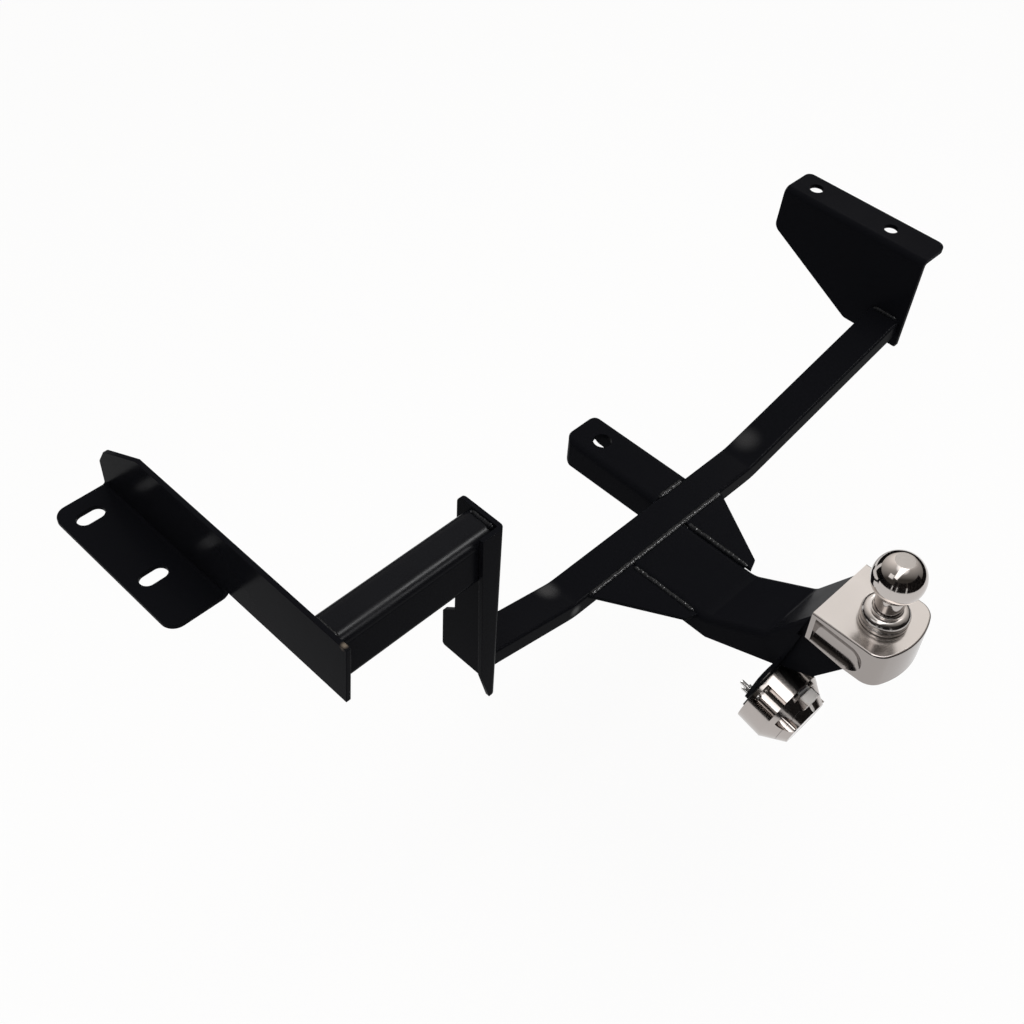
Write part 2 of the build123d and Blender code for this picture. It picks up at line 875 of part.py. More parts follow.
def hinge_ear_shape(side):
    """Ear that holds one end of the hinge pin."""
    near = side * hinge_notch_half
    far = side * (hinge_notch_half + hinge_ear)
    x0, x1 = min(near, far), max(near, far)
    root = block(x0, x1, hinge_notch_up, hinge_up + hinge_eye_r, socket_body, hinge_out)
    front = block(x0, x1, hinge_notch_up, hinge_up, hinge_out, hinge_out + hinge_eye_r)
    return root + front + hinge_disc(x0, x1, hinge_eye_r)


def hinge_notch():
    """Room for the lid's arms, its block and the spring."""
    start = socket_body + hinge_notch_gap
    return block(-hinge_notch_half, hinge_notch_half, hinge_notch_up, 99, start, socket_rim + 1)


def make_housing():
    """Socket body with pockets for its screws and a notch for the hinge."""
    body = turned(
        [
            (0, 0),
            (socket_base_r, 0),
            (socket_r, socket_body),
            (socket_radius(socket_rim), socket_rim),
            (0, socket_rim),
        ]
    )
    for side in (-1, 1):
        body += hinge_ear_shape(side)
    body -= hinge_notch()
    for x, y in pocket_spots:
        body -= rod((x, y, socket_floor), (x, y, socket_body), screw_pocket_r)
    for spot in screw_spots:
        body -= Pos(*spot) * Cylinder(screw_hole_r, 40)
    body -= thumb_grooves()
    for rib in thumb_rods(thumb_start - 1, socket_rim):
        body += rib
    body -= Pos(0, 0, socket_floor + 50) * Cylinder(socket_bore_r, 100)
    body -= ring(seal_out_r, seal_in_r, socket_rim - seal_depth, socket_rim + 1)
    body -= Cylinder(wire_hole_r, 40)
    body -= hinge_disc(-50, 50, hinge_pin_r)
    return socket_plane * body


def contact_spots():
    """Places of the contacts: one in the middle and a ring about it."""
    spots = [(0, 0)]
    for number in range(contact_count):
        angle = 2 * pi * (number + 0.5) / contact_count
        spots.append((contact_circle_r * cos(angle), contact_circle_r * sin(angle)))
    return spots


def make_insert():
    """Moulded insert that carries the contacts."""
    start = (0, 0, socket_floor + seat_gap)
    return socket_plane * rod(start, (0, 0, insert_top), socket_bore_r - insert_gap)


def make_contacts():
    """Contact pins, all alike, standing on the insert."""
    pins = []
    for x, y in contact_spots():
        start = (x, y, insert_top)
        pins.append(rod(start, (x, y, insert_top + contact_rise), contact_r))
    return socket_plane * Compound(children=pins)


def make_grommet():
    """Rubber ring in the wire hole, where the cable would enter."""
    radius = wire_hole_r - grommet_gap
    back = -gasket_thick - bracket_thick - seat_gap
    body = ring(radius, grommet_bore_r, back, socket_floor)
    body += ring(radius + 2 * grommet_lip, grommet_bore_r, back - grommet_lip, back)
    return socket_plane * body


def lid_arm(side):
    """Arm of the lid with its eye on the hinge pin."""
    near = side * (hinge_notch_half - arm_gap - arm_thick)
    far = side * (hinge_notch_half - arm_gap)
    x0, x1 = min(near, far), max(near, far)
    shank = block(x0, x1, arm_low, hinge_up + hinge_eye_r / 2, hinge_out, block_front)
    foot = block(x0, x1, lid_skirt_r, hinge_up, socket_rim + lid_gap, block_front)
    return shank + foot + hinge_disc(x0, x1, hinge_eye_r)


def make_lid():
    """Sprung lid: a coned cap, a hinge block and two arms."""
    start = socket_rim + lid_gap
    body = turned(
        [
            (0, start),
            (socket_radius(start), start),
            (socket_front_r, socket_front),
            (0, socket_front),
        ]
    )
    body -= Pos(0, 0, start) * Cylinder(lid_skirt_r, 2 * (socket_front - start - lid_roof))
    bar = block(-block_half, block_half, block_low, block_top, block_back, block_front)
    body += rounded(bar, Axis.X, [(block_top, block_back)], block_round)
    for side in (-1, 1):
        body += lid_arm(side)
    body -= thumb_grooves()
    for rib in thumb_rods(start, socket_front - 1):
        body += rib
    body -= hinge_disc(-50, 50, hinge_pin_r + hinge_pin_gap)
    return socket_plane * body


def make_hinge_pin():
    """Pin pressed into the housing's ears."""
    reach = hinge_notch_half + hinge_ear
    return socket_plane * hinge_disc(-reach, reach, hinge_pin_r)


def helix_point(turn):
    """Place and heading on the spring's centre line after some turns."""
    angle = 2 * pi * turn
    middle = -spring_pitch * spring_turns / 2
    place = (
        middle + spring_pitch * turn,
        hinge_up + spring_coil_r * cos(angle),
        hinge_out + spring_coil_r * sin(angle),
    )
    rise = spring_pitch / (2 * pi * spring_coil_r)
    heading = Vector(rise, -sin(angle), cos(angle)).normalized()
    return Vector(*place), heading


def biarc(start, out, end, into):
    """Two arcs that leave and arrive along given headings."""
    way = end - start
    total = out + into
    a = 2 * (1 - out.dot(into))
    b = 2 * way.dot(total)
    c = -way.dot(way)
    reach = (-b + sqrt(b * b - 4 * a * c)) / (2 * a)
    first = start + out * reach
    second = end - into * reach
    joint = (first + second) * 0.5
    heading = (second - first).normalized()
    return [
        TangentArc(start, joint, tangent=out),
        TangentArc(joint, end, tangent=heading),
    ]


def make_spring():
    """Wound spring about the hinge pin, one unbroken tube."""
    edges = []
    steps = 2 * spring_turns
    for number in range(steps):
        start, out = helix_point(number / 2)
        end, into = helix_point((number + 1) / 2)
        for arc in biarc(start, out, end, into):
            edges += arc.edges()
    route = Wire(edges)
    place, heading = helix_point(0)
    section = Plane(origin=place, z_dir=heading) * Circle(spring_wire_r)
    return socket_plane * sweep(section, path=route)


def spring_gap():
    """Least gap between neighbouring turns, measured on points."""
    samples = 48
    points = [helix_point(number / samples)[0] for number in range(samples * spring_turns + 1)]
    least = 1e9
    for first, place in enumerate(points):
        for other in points[first + samples // 2 :]:
            least = min(least, (other - place).length)
    return least - 2 * spring_wire_r


def make_seal():
    """Rubber ring between the lid and the housing."""
    low = socket_rim - seal_depth + seal_gap
    body = ring(seal_out_r - seal_gap, seal_in_r + seal_gap, low, socket_rim + seal_gap)
    return socket_plane * body


def make_socket_screws():
    """Screws of the socket, all alike."""
    screws = []
    for x, y in screw_spots:
        back = -screw_tail
        shank = rod((x, y, back), (x, y, socket_floor), screw_r)
        head = rod((x, y, socket_floor), (x, y, socket_floor + screw_head), screw_head_r)
        screws.append(shank + head)
    return socket_plane * Compound(children=screws)


def make_socket_nuts():
    """Nuts behind the bracket and behind the housing's low screw."""
    nuts = []
    for number, (x, y) in enumerate(screw_spots):
        top = -gasket_thick - bracket_thick if number < 2 else 0
        face = RegularPolygon(socket_nut_flats / 2, 6, major_radius=False) - Circle(screw_hole_r)
        nuts.append(extrude(Pos(x, y, top - socket_nut_height) * face, amount=socket_nut_height))
    return socket_plane * Compound(children=nuts)


def make_frame():
    """The welded frame's pieces by name."""
    return {
        "crossbar": make_crossbar(),
        "upright_bracket": make_upright(),
        "stub_tube": make_stub_tube(),
        "left_side_plate": make_side_plate(),
        "right_bracket": make_right_bracket(),
        "front_tongue": make_front_tongue(),
        "rear_tongue": make_rear_tongue(),
        "gusset_left": make_gusset(-1),
        "gusset_right": make_gusset(1),
        "socket_bracket": make_socket_bracket(),
        "ball_carrier": make_ball_carrier(),
    }


def make_welds(frame):
    """Weld beads by name, each cut from the plates that it joins."""
    bar = frame["crossbar"]
    tongue = frame["rear_tongue"]
    left = frame["gusset_left"]
    right = frame["gusset_right"]
    front = frame["front_tongue"]
    upright = frame["upright_bracket"]
    side = frame["left_side_plate"]
    stub = frame["stub_tube"]
    bracket = frame["right_bracket"]
    z = bar_top_z - weld_r / 2
    edge_y = tongue_width / 2
    half = front_width / 2 - front_bend
    tube_x0 = upright_rear_x - plate - stub_gap - stub_width + stub_corner
    tube_x1 = upright_rear_x - plate - stub_gap - stub_corner
    right_z = bar_top_at(right_face_y)
    left_z = bar_top_at(upright_far_y)
    bar_x0 = bar_front_x + bar_corner
    bar_x1 = bar_rear_x - bar_corner
    return {
        "weld_crossbar": weld(
            (bar_rear_x, -gusset_reach_y, z), (bar_rear_x, gusset_reach_y, z), bar, tongue, left, right
        ),
        "weld_gusset_left": weld(
            (bar_rear_x + 6, -edge_y, z), (gusset_tip_x, -edge_y, z), tongue, left
        ),
        "weld_gusset_right": weld(
            (bar_rear_x + 6, edge_y, z), (gusset_tip_x, edge_y, z), tongue, right
        ),
        "weld_front_tongue": weld(
            (bar_front_x, front_middle_y - half, z), (bar_front_x, front_middle_y + half, z), bar, front
        ),
        "weld_right_bracket": weld(
            (bar_x0, right_face_y, right_z), (bar_x1, right_face_y, right_z), bar, bracket
        ),
        "weld_upright": weld(
            (bar_x0, upright_far_y, left_z), (bar_x1, upright_far_y, left_z), bar, upright
        ),
        "weld_stub_left": weld(
            (tube_x0, side_inner_y, stub_top_z), (tube_x1, side_inner_y, stub_top_z), stub, side
        ),
        "weld_stub_right": weld(
            (tube_x0, upright_near_y, stub_top_z), (tube_x1, upright_near_y, stub_top_z), stub, upright
        ),
    }


def make_fittings():
    """Ball, cover, socket and small parts by name."""
    washer_z = ball_plate_low_z - washer_thick
    return {
        "ball_cover": make_cover(),
        "tow_ball": make_tow_ball(),
        "ball_seat_ring": make_seat_ring(),
        "ball_washer": ring(washer_r, shank_hole_r, washer_z, ball_plate_low_z),
        "ball_nut": make_ball_nut(),
        "socket_gasket": make_socket_gasket(),
        "socket_housing": make_housing(),
        "contact_insert": make_insert(),
        "contact_pins": make_contacts(),
        "cable_grommet": make_grommet(),
        "socket_lid": make_lid(),
        "hinge_pin": make_hinge_pin(),
        "lid_spring": make_spring(),
        "lid_seal": make_seal(),
        "socket_screws": make_socket_screws(),
        "socket_nuts": make_socket_nuts(),
    }


def make_all():
    """Every piece of the towbar by name."""
    frame = make_frame()
    return frame | make_welds(frame) | make_fittings()


if __name__ == "__main__":
    os.makedirs("parts", exist_ok=True)
    for name, shape in make_all().items():
        export_step(shape, f"parts/{name}.step")
        print(name, len(shape.solids()), round(shape.volume))
    print("spring gap", round(spring_gap(), 2))
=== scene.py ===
import json
import logging
import math
from dataclasses import dataclass, field
from enum import Enum
from typing import Callable, Iterable, Sequence

import bmesh
import bpy
from mathutils import Matrix, Vector, noise

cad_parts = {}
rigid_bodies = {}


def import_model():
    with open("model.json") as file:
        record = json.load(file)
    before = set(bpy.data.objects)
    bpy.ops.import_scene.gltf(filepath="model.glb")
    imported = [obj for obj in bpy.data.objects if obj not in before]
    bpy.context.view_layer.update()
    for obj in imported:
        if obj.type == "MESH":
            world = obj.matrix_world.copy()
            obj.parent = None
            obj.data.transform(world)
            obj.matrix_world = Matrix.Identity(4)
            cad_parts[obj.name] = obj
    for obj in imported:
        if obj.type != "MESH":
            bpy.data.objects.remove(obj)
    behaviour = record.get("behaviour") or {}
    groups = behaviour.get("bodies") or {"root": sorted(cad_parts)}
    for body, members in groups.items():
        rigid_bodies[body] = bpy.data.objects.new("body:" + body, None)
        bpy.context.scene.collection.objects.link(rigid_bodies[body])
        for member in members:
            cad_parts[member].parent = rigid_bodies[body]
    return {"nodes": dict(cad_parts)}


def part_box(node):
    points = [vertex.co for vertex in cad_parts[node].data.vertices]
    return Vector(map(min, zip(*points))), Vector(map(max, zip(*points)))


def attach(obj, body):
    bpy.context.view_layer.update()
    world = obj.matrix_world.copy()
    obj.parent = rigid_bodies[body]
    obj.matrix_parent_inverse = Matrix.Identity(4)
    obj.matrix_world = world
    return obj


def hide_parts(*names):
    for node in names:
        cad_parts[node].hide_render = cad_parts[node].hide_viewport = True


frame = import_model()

LOG = logging.getLogger("towbar")
MM = 0.001
BODY = "towbar_body"
LID_BODY = "lid_body"


class Slot(Enum):
    """The record's material slots."""

    PAINT = "black_paint"
    CHROME = "chrome"
    ALLOY = "bright_alloy"
    ZINC = "zinc_steel"
    SPRING = "spring_steel"
    RUBBER = "rubber"
    PLASTIC = "black_plastic"
    BRASS = "brass"


class Axis(Enum):
    """Row axes, as unit directions."""

    X = (1.0, 0.0, 0.0)
    Y = (0.0, 1.0, 0.0)
    Z = (0.0, 0.0, 1.0)


def millimetres(*values: float) -> Vector:
    """Point or direction given in millimetres, returned in metres."""
    return Vector(values) * MM


# Fixed values of the shader node groups that the finishes share

SMUDGE_DETAIL = 4.0
SMUDGE_RANGE = (0.35, 0.7)
WAVE_DETAIL = 2.0
GRAIN_DETAIL = 1.0
GRAIN_SCALE = 2600.0
SKIN_HEIGHT = 0.0004
SPECK_REACH = (0.16, 0.05)
PATCH_DETAIL = 3.0
PATCH_SCALE = 25.0
PATCH_RANGE = (0.52, 0.72)

# Distances in metres and the angle in degrees below which parts of a mesh are merged

TURNED_MERGE = 1e-6
SOLID_MERGE = 2e-6
FLAT_ANGLE = 0.4

# Segments that round off a blunt corner

BLUNT_STEPS = 8


def new_group(name: str, inputs: dict[str, float], outputs: dict[str, str]) -> bpy.types.NodeTree:
    """Make an empty shader node group with a vector input.

    Args:
        name: Name of the group.
        inputs: Float inputs with their default values.
        outputs: Output names with their socket types.

    Returns:
        The group, with its input and output nodes in place.
    """
    group = bpy.data.node_groups.new(name, "ShaderNodeTree")
    group.interface.new_socket("Vector", in_out="INPUT", socket_type="NodeSocketVector")
    for label, value in inputs.items():
        socket = group.interface.new_socket(label, in_out="INPUT", socket_type="NodeSocketFloat")
        socket.default_value = value
    for label, kind in outputs.items():
        group.interface.new_socket(label, in_out="OUTPUT", socket_type=kind)
    group.nodes.new("NodeGroupInput").name = "In"
    group.nodes.new("NodeGroupOutput").name = "Out"
    return group


def add_noise(tree: bpy.types.NodeTree, vector: bpy.types.NodeSocket, detail: float) -> bpy.types.Node:
    """Noise texture on a vector, with its Scale left to the caller.

    Args:
        tree: Node tree that takes the texture.
        vector: Coordinates that it reads.
        detail: Its finer layers.

    Returns:
        The noise node.
    """
    node = tree.nodes.new("ShaderNodeTexNoise")
    node.inputs["Detail"].default_value = detail
    tree.links.new(vector, node.inputs["Vector"])
    return node


def add_range(tree: bpy.types.NodeTree, first: float, last: float) -> bpy.types.Node:
    """Map Range node whose result goes from 0 to 1 between two values.

    Args:
        tree: Node tree that takes the node.
        first: Value that gives 0.
        last: Value that gives 1.

    Returns:
        The Map Range node.
    """
    node = tree.nodes.new("ShaderNodeMapRange")
    node.inputs["From Min"].default_value = first
    node.inputs["From Max"].default_value = last
    return node


def combine(
    tree: bpy.types.NodeTree,
    operation: str,
    first: bpy.types.NodeSocket,
    second: bpy.types.NodeSocket | float,
) -> bpy.types.NodeSocket:
    """Combine two values with a Math node.

    Args:
        tree: Node tree that takes the node.
        operation: What the Math node does.
        first: Its first value.
        second: Its second value, a socket or a number.

    Returns:
        Output socket of the result.
    """
    node = tree.nodes.new("ShaderNodeMath")
    node.operation = operation
    tree.links.new(first, node.inputs[0])
    if isinstance(second, float):
        node.inputs[1].default_value = second
    else:
        tree.links.new(second, node.inputs[1])
    return node.outputs["Value"]


def smudge_group() -> bpy.types.NodeTree:
    """Handling marks: a roughness that drifts between two values.

    Returns:
        Group with inputs Scale, Low and High and the output Roughness.
    """
    group = new_group("smudges", {"Scale": 30.0, "Low": 0.05, "High": 0.15}, {"Roughness": "NodeSocketFloat"})
    inside, out = group.nodes["In"], group.nodes["Out"]
    cloud = add_noise(group, inside.outputs["Vector"], SMUDGE_DETAIL)
    group.links.new(inside.outputs["Scale"], cloud.inputs["Scale"])
    spread = add_range(group, *SMUDGE_RANGE)
    group.links.new(cloud.outputs["Fac"], spread.inputs["Value"])
    group.links.new(inside.outputs["Low"], spread.inputs["To Min"])
    group.links.new(inside.outputs["High"], spread.inputs["To Max"])
    group.links.new(spread.outputs["Result"], out.inputs["Roughness"])
    return group


def skin_group() -> bpy.types.NodeTree:
    """Fine unevenness of a sprayed, cast or moulded skin, as a normal.

    Returns:
        Group with inputs Scale, Depth and Grain and the output Normal.
    """
    group = new_group("skin", {"Scale": 200.0, "Depth": 0.05, "Grain": 0.0}, {"Normal": "NodeSocketVector"})
    inside, out = group.nodes["In"], group.nodes["Out"]
    wave = add_noise(group, inside.outputs["Vector"], WAVE_DETAIL)
    group.links.new(inside.outputs["Scale"], wave.inputs["Scale"])
    fine = add_noise(group, inside.outputs["Vector"], GRAIN_DETAIL)
    fine.inputs["Scale"].default_value = GRAIN_SCALE
    weigh = group.nodes.new("ShaderNodeMath")
    weigh.operation = "MULTIPLY_ADD"
    group.links.new(fine.outputs["Fac"], weigh.inputs[0])
    group.links.new(inside.outputs["Grain"], weigh.inputs[1])
    group.links.new(wave.outputs["Fac"], weigh.inputs[2])
    bump = group.nodes.new("ShaderNodeBump")
    bump.inputs["Distance"].default_value = SKIN_HEIGHT
    group.links.new(weigh.outputs["Value"], bump.inputs["Height"])
    group.links.new(inside.outputs["Depth"], bump.inputs["Strength"])
    group.links.new(bump.outputs["Normal"], out.inputs["Normal"])
    return group


def dust_and_glint_group() -> bpy.types.NodeTree:
    """Sparse specks of dust and small chips, as a mask; on the welds the same specks are light grey painted
    glints.

    Returns:
        Group with inputs Scale and Amount and the output Mask.
    """
    group = new_group("dust_and_glints", {"Scale": 900.0, "Amount": 0.3}, {"Mask": "NodeSocketFloat"})
    inside, out = group.nodes["In"], group.nodes["Out"]
    cells = group.nodes.new("ShaderNodeTexVoronoi")
    group.links.new(inside.outputs["Vector"], cells.inputs["Vector"])
    group.links.new(inside.outputs["Scale"], cells.inputs["Scale"])
    speck = add_range(group, *SPECK_REACH)
    group.links.new(cells.outputs["Distance"], speck.inputs["Value"])
    patch = add_noise(group, inside.outputs["Vector"], PATCH_DETAIL)
    patch.inputs["Scale"].default_value = PATCH_SCALE
    limit = add_range(group, *PATCH_RANGE)
    group.links.new(patch.outputs["Fac"], limit.inputs["Value"])
    both = combine(group, "MULTIPLY", speck.outputs["Result"], limit.outputs["Result"])
    scaled = combine(group, "MULTIPLY", both, inside.outputs["Amount"])
    group.links.new(scaled, out.inputs["Mask"])
    return group


def spots(
    tree: bpy.types.NodeTree,
    vector: bpy.types.NodeSocket,
    places: Sequence[tuple[float, float, float, float]],
) -> bpy.types.NodeSocket:
    """Mask of soft round spots.

    Args:
        tree: Node tree of the material.
        vector: Object coordinates.
        places: Middle and reach of each spot in millimetres.

    Returns:
        Output socket of the mask.
    """
    whole = None
    for x, y, z, reach in places:
        away = tree.nodes.new("ShaderNodeVectorMath")
        away.operation = "DISTANCE"
        away.inputs[1].default_value = millimetres(x, y, z)
        tree.links.new(vector, away.inputs[0])
        near = add_range(tree, reach * MM, 0.0)
        near.interpolation_type = "SMOOTHERSTEP"
        tree.links.new(away.outputs["Value"], near.inputs["Value"])
        mask = near.outputs["Result"]
        whole = mask if whole is None else combine(tree, "MAXIMUM", whole, mask)
    return whole


@dataclass(frozen=True)
class Finish:
    """One surface finish, made into a procedural material."""

    name: str
    slot: Slot
    colour: tuple[float, float, float]
    # Colour of the specks: dust and chips, and on the welds painted glints
    dust_and_glints: tuple[float, float, float]
    metallic: float = 0.0
    smooth: float = 0.1
    rough: float = 0.2
    smudge: float = 30.0
    skin: float = 200.0
    depth: float = 0.05
    grain: float = 0.0
    specks: float = 0.3
    speck_scale: float = 900.0
    ior: float = 1.5
    sheen: tuple[tuple[float, float, float, float], ...] = ()
    sheen_lift: float = 0.4
    chips: tuple[tuple[float, float, float, float], ...] = ()
    chip_colour: tuple[float, float, float] = (0.17, 0.14, 0.11)

    def material(self, groups: dict[str, bpy.types.NodeTree]) -> bpy.types.Material:
        """Build the material of this finish.

        Args:
            groups: The shared node groups by name.

        Returns:
            The finished material.
        """
        made = bpy.data.materials.new(self.name)
        made.use_nodes = True
        tree = made.node_tree
        shader = tree.nodes["Principled BSDF"]
        place = tree.nodes.new("ShaderNodeTexCoord")
        settings = {
            "smudges": {"Scale": self.smudge, "Low": self.smooth, "High": self.rough},
            "skin": {"Scale": self.skin, "Depth": self.depth, "Grain": self.grain},
            "dust_and_glints": {"Scale": self.speck_scale, "Amount": self.specks},
        }
        parts = {}
        for label, values in settings.items():
            node = tree.nodes.new("ShaderNodeGroup")
            node.node_tree = groups[label]
            tree.links.new(place.outputs["Object"], node.inputs["Vector"])
            for socket, value in values.items():
                node.inputs[socket].default_value = value
            parts[label] = node
        mix = tree.nodes.new("ShaderNodeMix")
        mix.data_type = "RGBA"
        mix.inputs["A"].default_value = (*self.colour, 1.0)
        mix.inputs["B"].default_value = (*self.dust_and_glints, 1.0)
        tree.links.new(parts["dust_and_glints"].outputs["Mask"], mix.inputs["Factor"])
        tree.links.new(mix.outputs["Result"], shader.inputs["Base Color"])
        tree.links.new(parts["smudges"].outputs["Roughness"], shader.inputs["Roughness"])
        tree.links.new(parts["skin"].outputs["Normal"], shader.inputs["Normal"])
        shader.inputs["Metallic"].default_value = self.metallic
        shader.inputs["IOR"].default_value = self.ior
        # Painted highlight: extra coat laid on in spots, where the bends of the bar catch the light
        if self.sheen:
            mask = spots(tree, place.outputs["Object"], self.sheen)
            lift = combine(tree, "MULTIPLY", mask, self.sheen_lift)
            tree.links.new(lift, shader.inputs["Coat Weight"])
            shader.inputs["Coat Roughness"].default_value = self.rough
        if self.chips:
            bare = tree.nodes.new("ShaderNodeMix")
            bare.data_type = "RGBA"
            bare.inputs["B"].default_value = (*self.chip_colour, 1.0)
            tree.links.new(spots(tree, place.outputs["Object"], self.chips), bare.inputs["Factor"])
            tree.links.new(mix.outputs["Result"], bare.inputs["A"])
            tree.links.new(bare.outputs["Result"], shader.inputs["Base Color"])
        return made


# Colours that several finishes share

PAINT_BLACK = (0.0047, 0.0049, 0.0062)
PAINT_DUST = (0.03, 0.03, 0.033)
BRIGHT_DUST = (0.3, 0.28, 0.26)

# Middle and reach, in millimetres, of the painted highlights: spots of extra coat where the bends of the bar
# catch the light

BEND_SHEEN = (
    (-288.0, -134.0, -163.0, 19.0),
    (-255.0, -124.0, -175.0, 10.0),
    (-285.0, 186.0, -161.0, 24.0),
)

# The same of the worn paint where the tube meets the left side plate

TUBE_CHIPS = ((-244.5, -424.0, 49.5, 5.0),)

FINISHES = {
    "paint": Finish(
        "gloss_black_paint", Slot.PAINT, PAINT_BLACK, PAINT_DUST,
        smooth=0.16, rough=0.26, skin=120.0, depth=0.03, specks=0.12, ior=1.04,
        sheen=BEND_SHEEN, chips=TUBE_CHIPS,
    ),
    "rolled": Finish(
        "rolled_black_paint", Slot.PAINT, PAINT_BLACK, PAINT_DUST,
        smooth=0.24, rough=0.34, skin=60.0, depth=0.02, specks=0.05, ior=1.11,
    ),
    # The light grey specks on the welds are painted glints on the lumps of the beads, not dust
    "weld": Finish(
        "painted_weld", Slot.PAINT, (0.005, 0.0052, 0.0062), (0.35, 0.35, 0.35),
        smooth=0.12, rough=0.25, skin=500.0, depth=0.6, specks=0.35, speck_scale=500.0, ior=1.22,
    ),
    "chrome": Finish(
        "bright_chrome", Slot.CHROME, (0.5, 0.462, 0.44), BRIGHT_DUST,
        metallic=1.0, smooth=0.05, rough=0.12, skin=60.0, depth=0.012, specks=0.1,
    ),
    # Darker copy of the chrome for the sides of the ball cover: painted shade against its brighter brushed
    # top
    "satin": Finish(
        "chrome_with_painted_shade", Slot.CHROME, (0.33, 0.303, 0.288), BRIGHT_DUST,
        metallic=1.0, smooth=0.13, rough=0.22, skin=60.0, depth=0.02, specks=0.1,
    ),
    "bare": Finish(
        "turned_steel", Slot.CHROME, (0.34, 0.32, 0.305), (0.2, 0.18, 0.16),
        metallic=1.0, smooth=0.42, rough=0.52, skin=400.0, depth=0.1, grain=0.5,
    ),
    "alloy": Finish(
        "polished_alloy", Slot.ALLOY, (0.44, 0.405, 0.385), BRIGHT_DUST,
        metallic=1.0, smooth=0.12, rough=0.2, skin=90.0, depth=0.02, specks=0.1,
    ),
    "cast": Finish(
        "pale_casting", Slot.ALLOY, (0.86, 0.84, 0.82), (0.5, 0.48, 0.46),
        smooth=0.3, rough=0.4, skin=300.0, depth=0.1, specks=0.1,
    ),
    "brushed": Finish(
        "brushed_chrome", Slot.CHROME, (0.5, 0.47, 0.45), BRIGHT_DUST,
        metallic=1.0, smooth=0.15, rough=0.24, skin=60.0, depth=0.02, specks=0.1,
    ),
    "zinc": Finish(
        "zinc_plate", Slot.ZINC, (0.8, 0.79, 0.78), (0.25, 0.22, 0.18),
        metallic=1.0, smooth=0.26, rough=0.4, skin=500.0, depth=0.1, specks=0.2,
    ),
    "spring": Finish(
        "spring_wire", Slot.SPRING, (0.34, 0.34, 0.36), (0.15, 0.1, 0.06),
        metallic=1.0, smooth=0.2, rough=0.36, skin=900.0, depth=0.1, specks=0.3,
    ),
    "rubber": Finish(
        "black_rubber", Slot.RUBBER, (0.012, 0.012, 0.013), (0.06, 0.06, 0.06),
        smooth=0.5, rough=0.75, skin=600.0, depth=0.3, grain=0.6, specks=0.4,
    ),
    "plastic": Finish(
        "black_plastic", Slot.PLASTIC, (0.02, 0.02, 0.022), (0.07, 0.07, 0.07),
        smooth=0.35, rough=0.5, skin=900.0, depth=0.2, grain=0.5, specks=0.2,
    ),
    "brass": Finish(
        "contact_brass", Slot.BRASS, (0.72, 0.5, 0.2), (0.25, 0.15, 0.06),
        metallic=1.0, smooth=0.12, rough=0.28, skin=700.0, depth=0.1, specks=0.2,
    ),
}


def sharp_edges(shape: bmesh.types.BMesh, angle: float) -> list[bmesh.types.BMEdge]:
    """Edges between two faces that meet at more than an angle in degrees."""
    limit = math.radians(angle)
    return [one for one in shape.edges if len(one.link_faces) == 2 and one.calc_face_angle(0.0) > limit]


def distance(edge: bmesh.types.BMEdge, point: Vector) -> float:
    """Distance of an edge's middle from a point."""
    return ((edge.verts[0].co + edge.verts[1].co) / 2 - point).length


def round_off(
    shape: bmesh.types.BMesh, edges: Sequence[bmesh.types.BMEdge], radius: float, steps: int
) -> None:
    """Round edges of a mesh off.

    Args:
        shape: The mesh under way.
        edges: Edges to round.
        radius: Rounding in millimetres.
        steps: Segments of the rounding.
    """
    bmesh.ops.bevel(
        shape, geom=edges, offset=radius * MM, offset_type="OFFSET", affect="EDGES",
        segments=steps, profile=0.5, material=-1, clamp_overlap=True,
    )


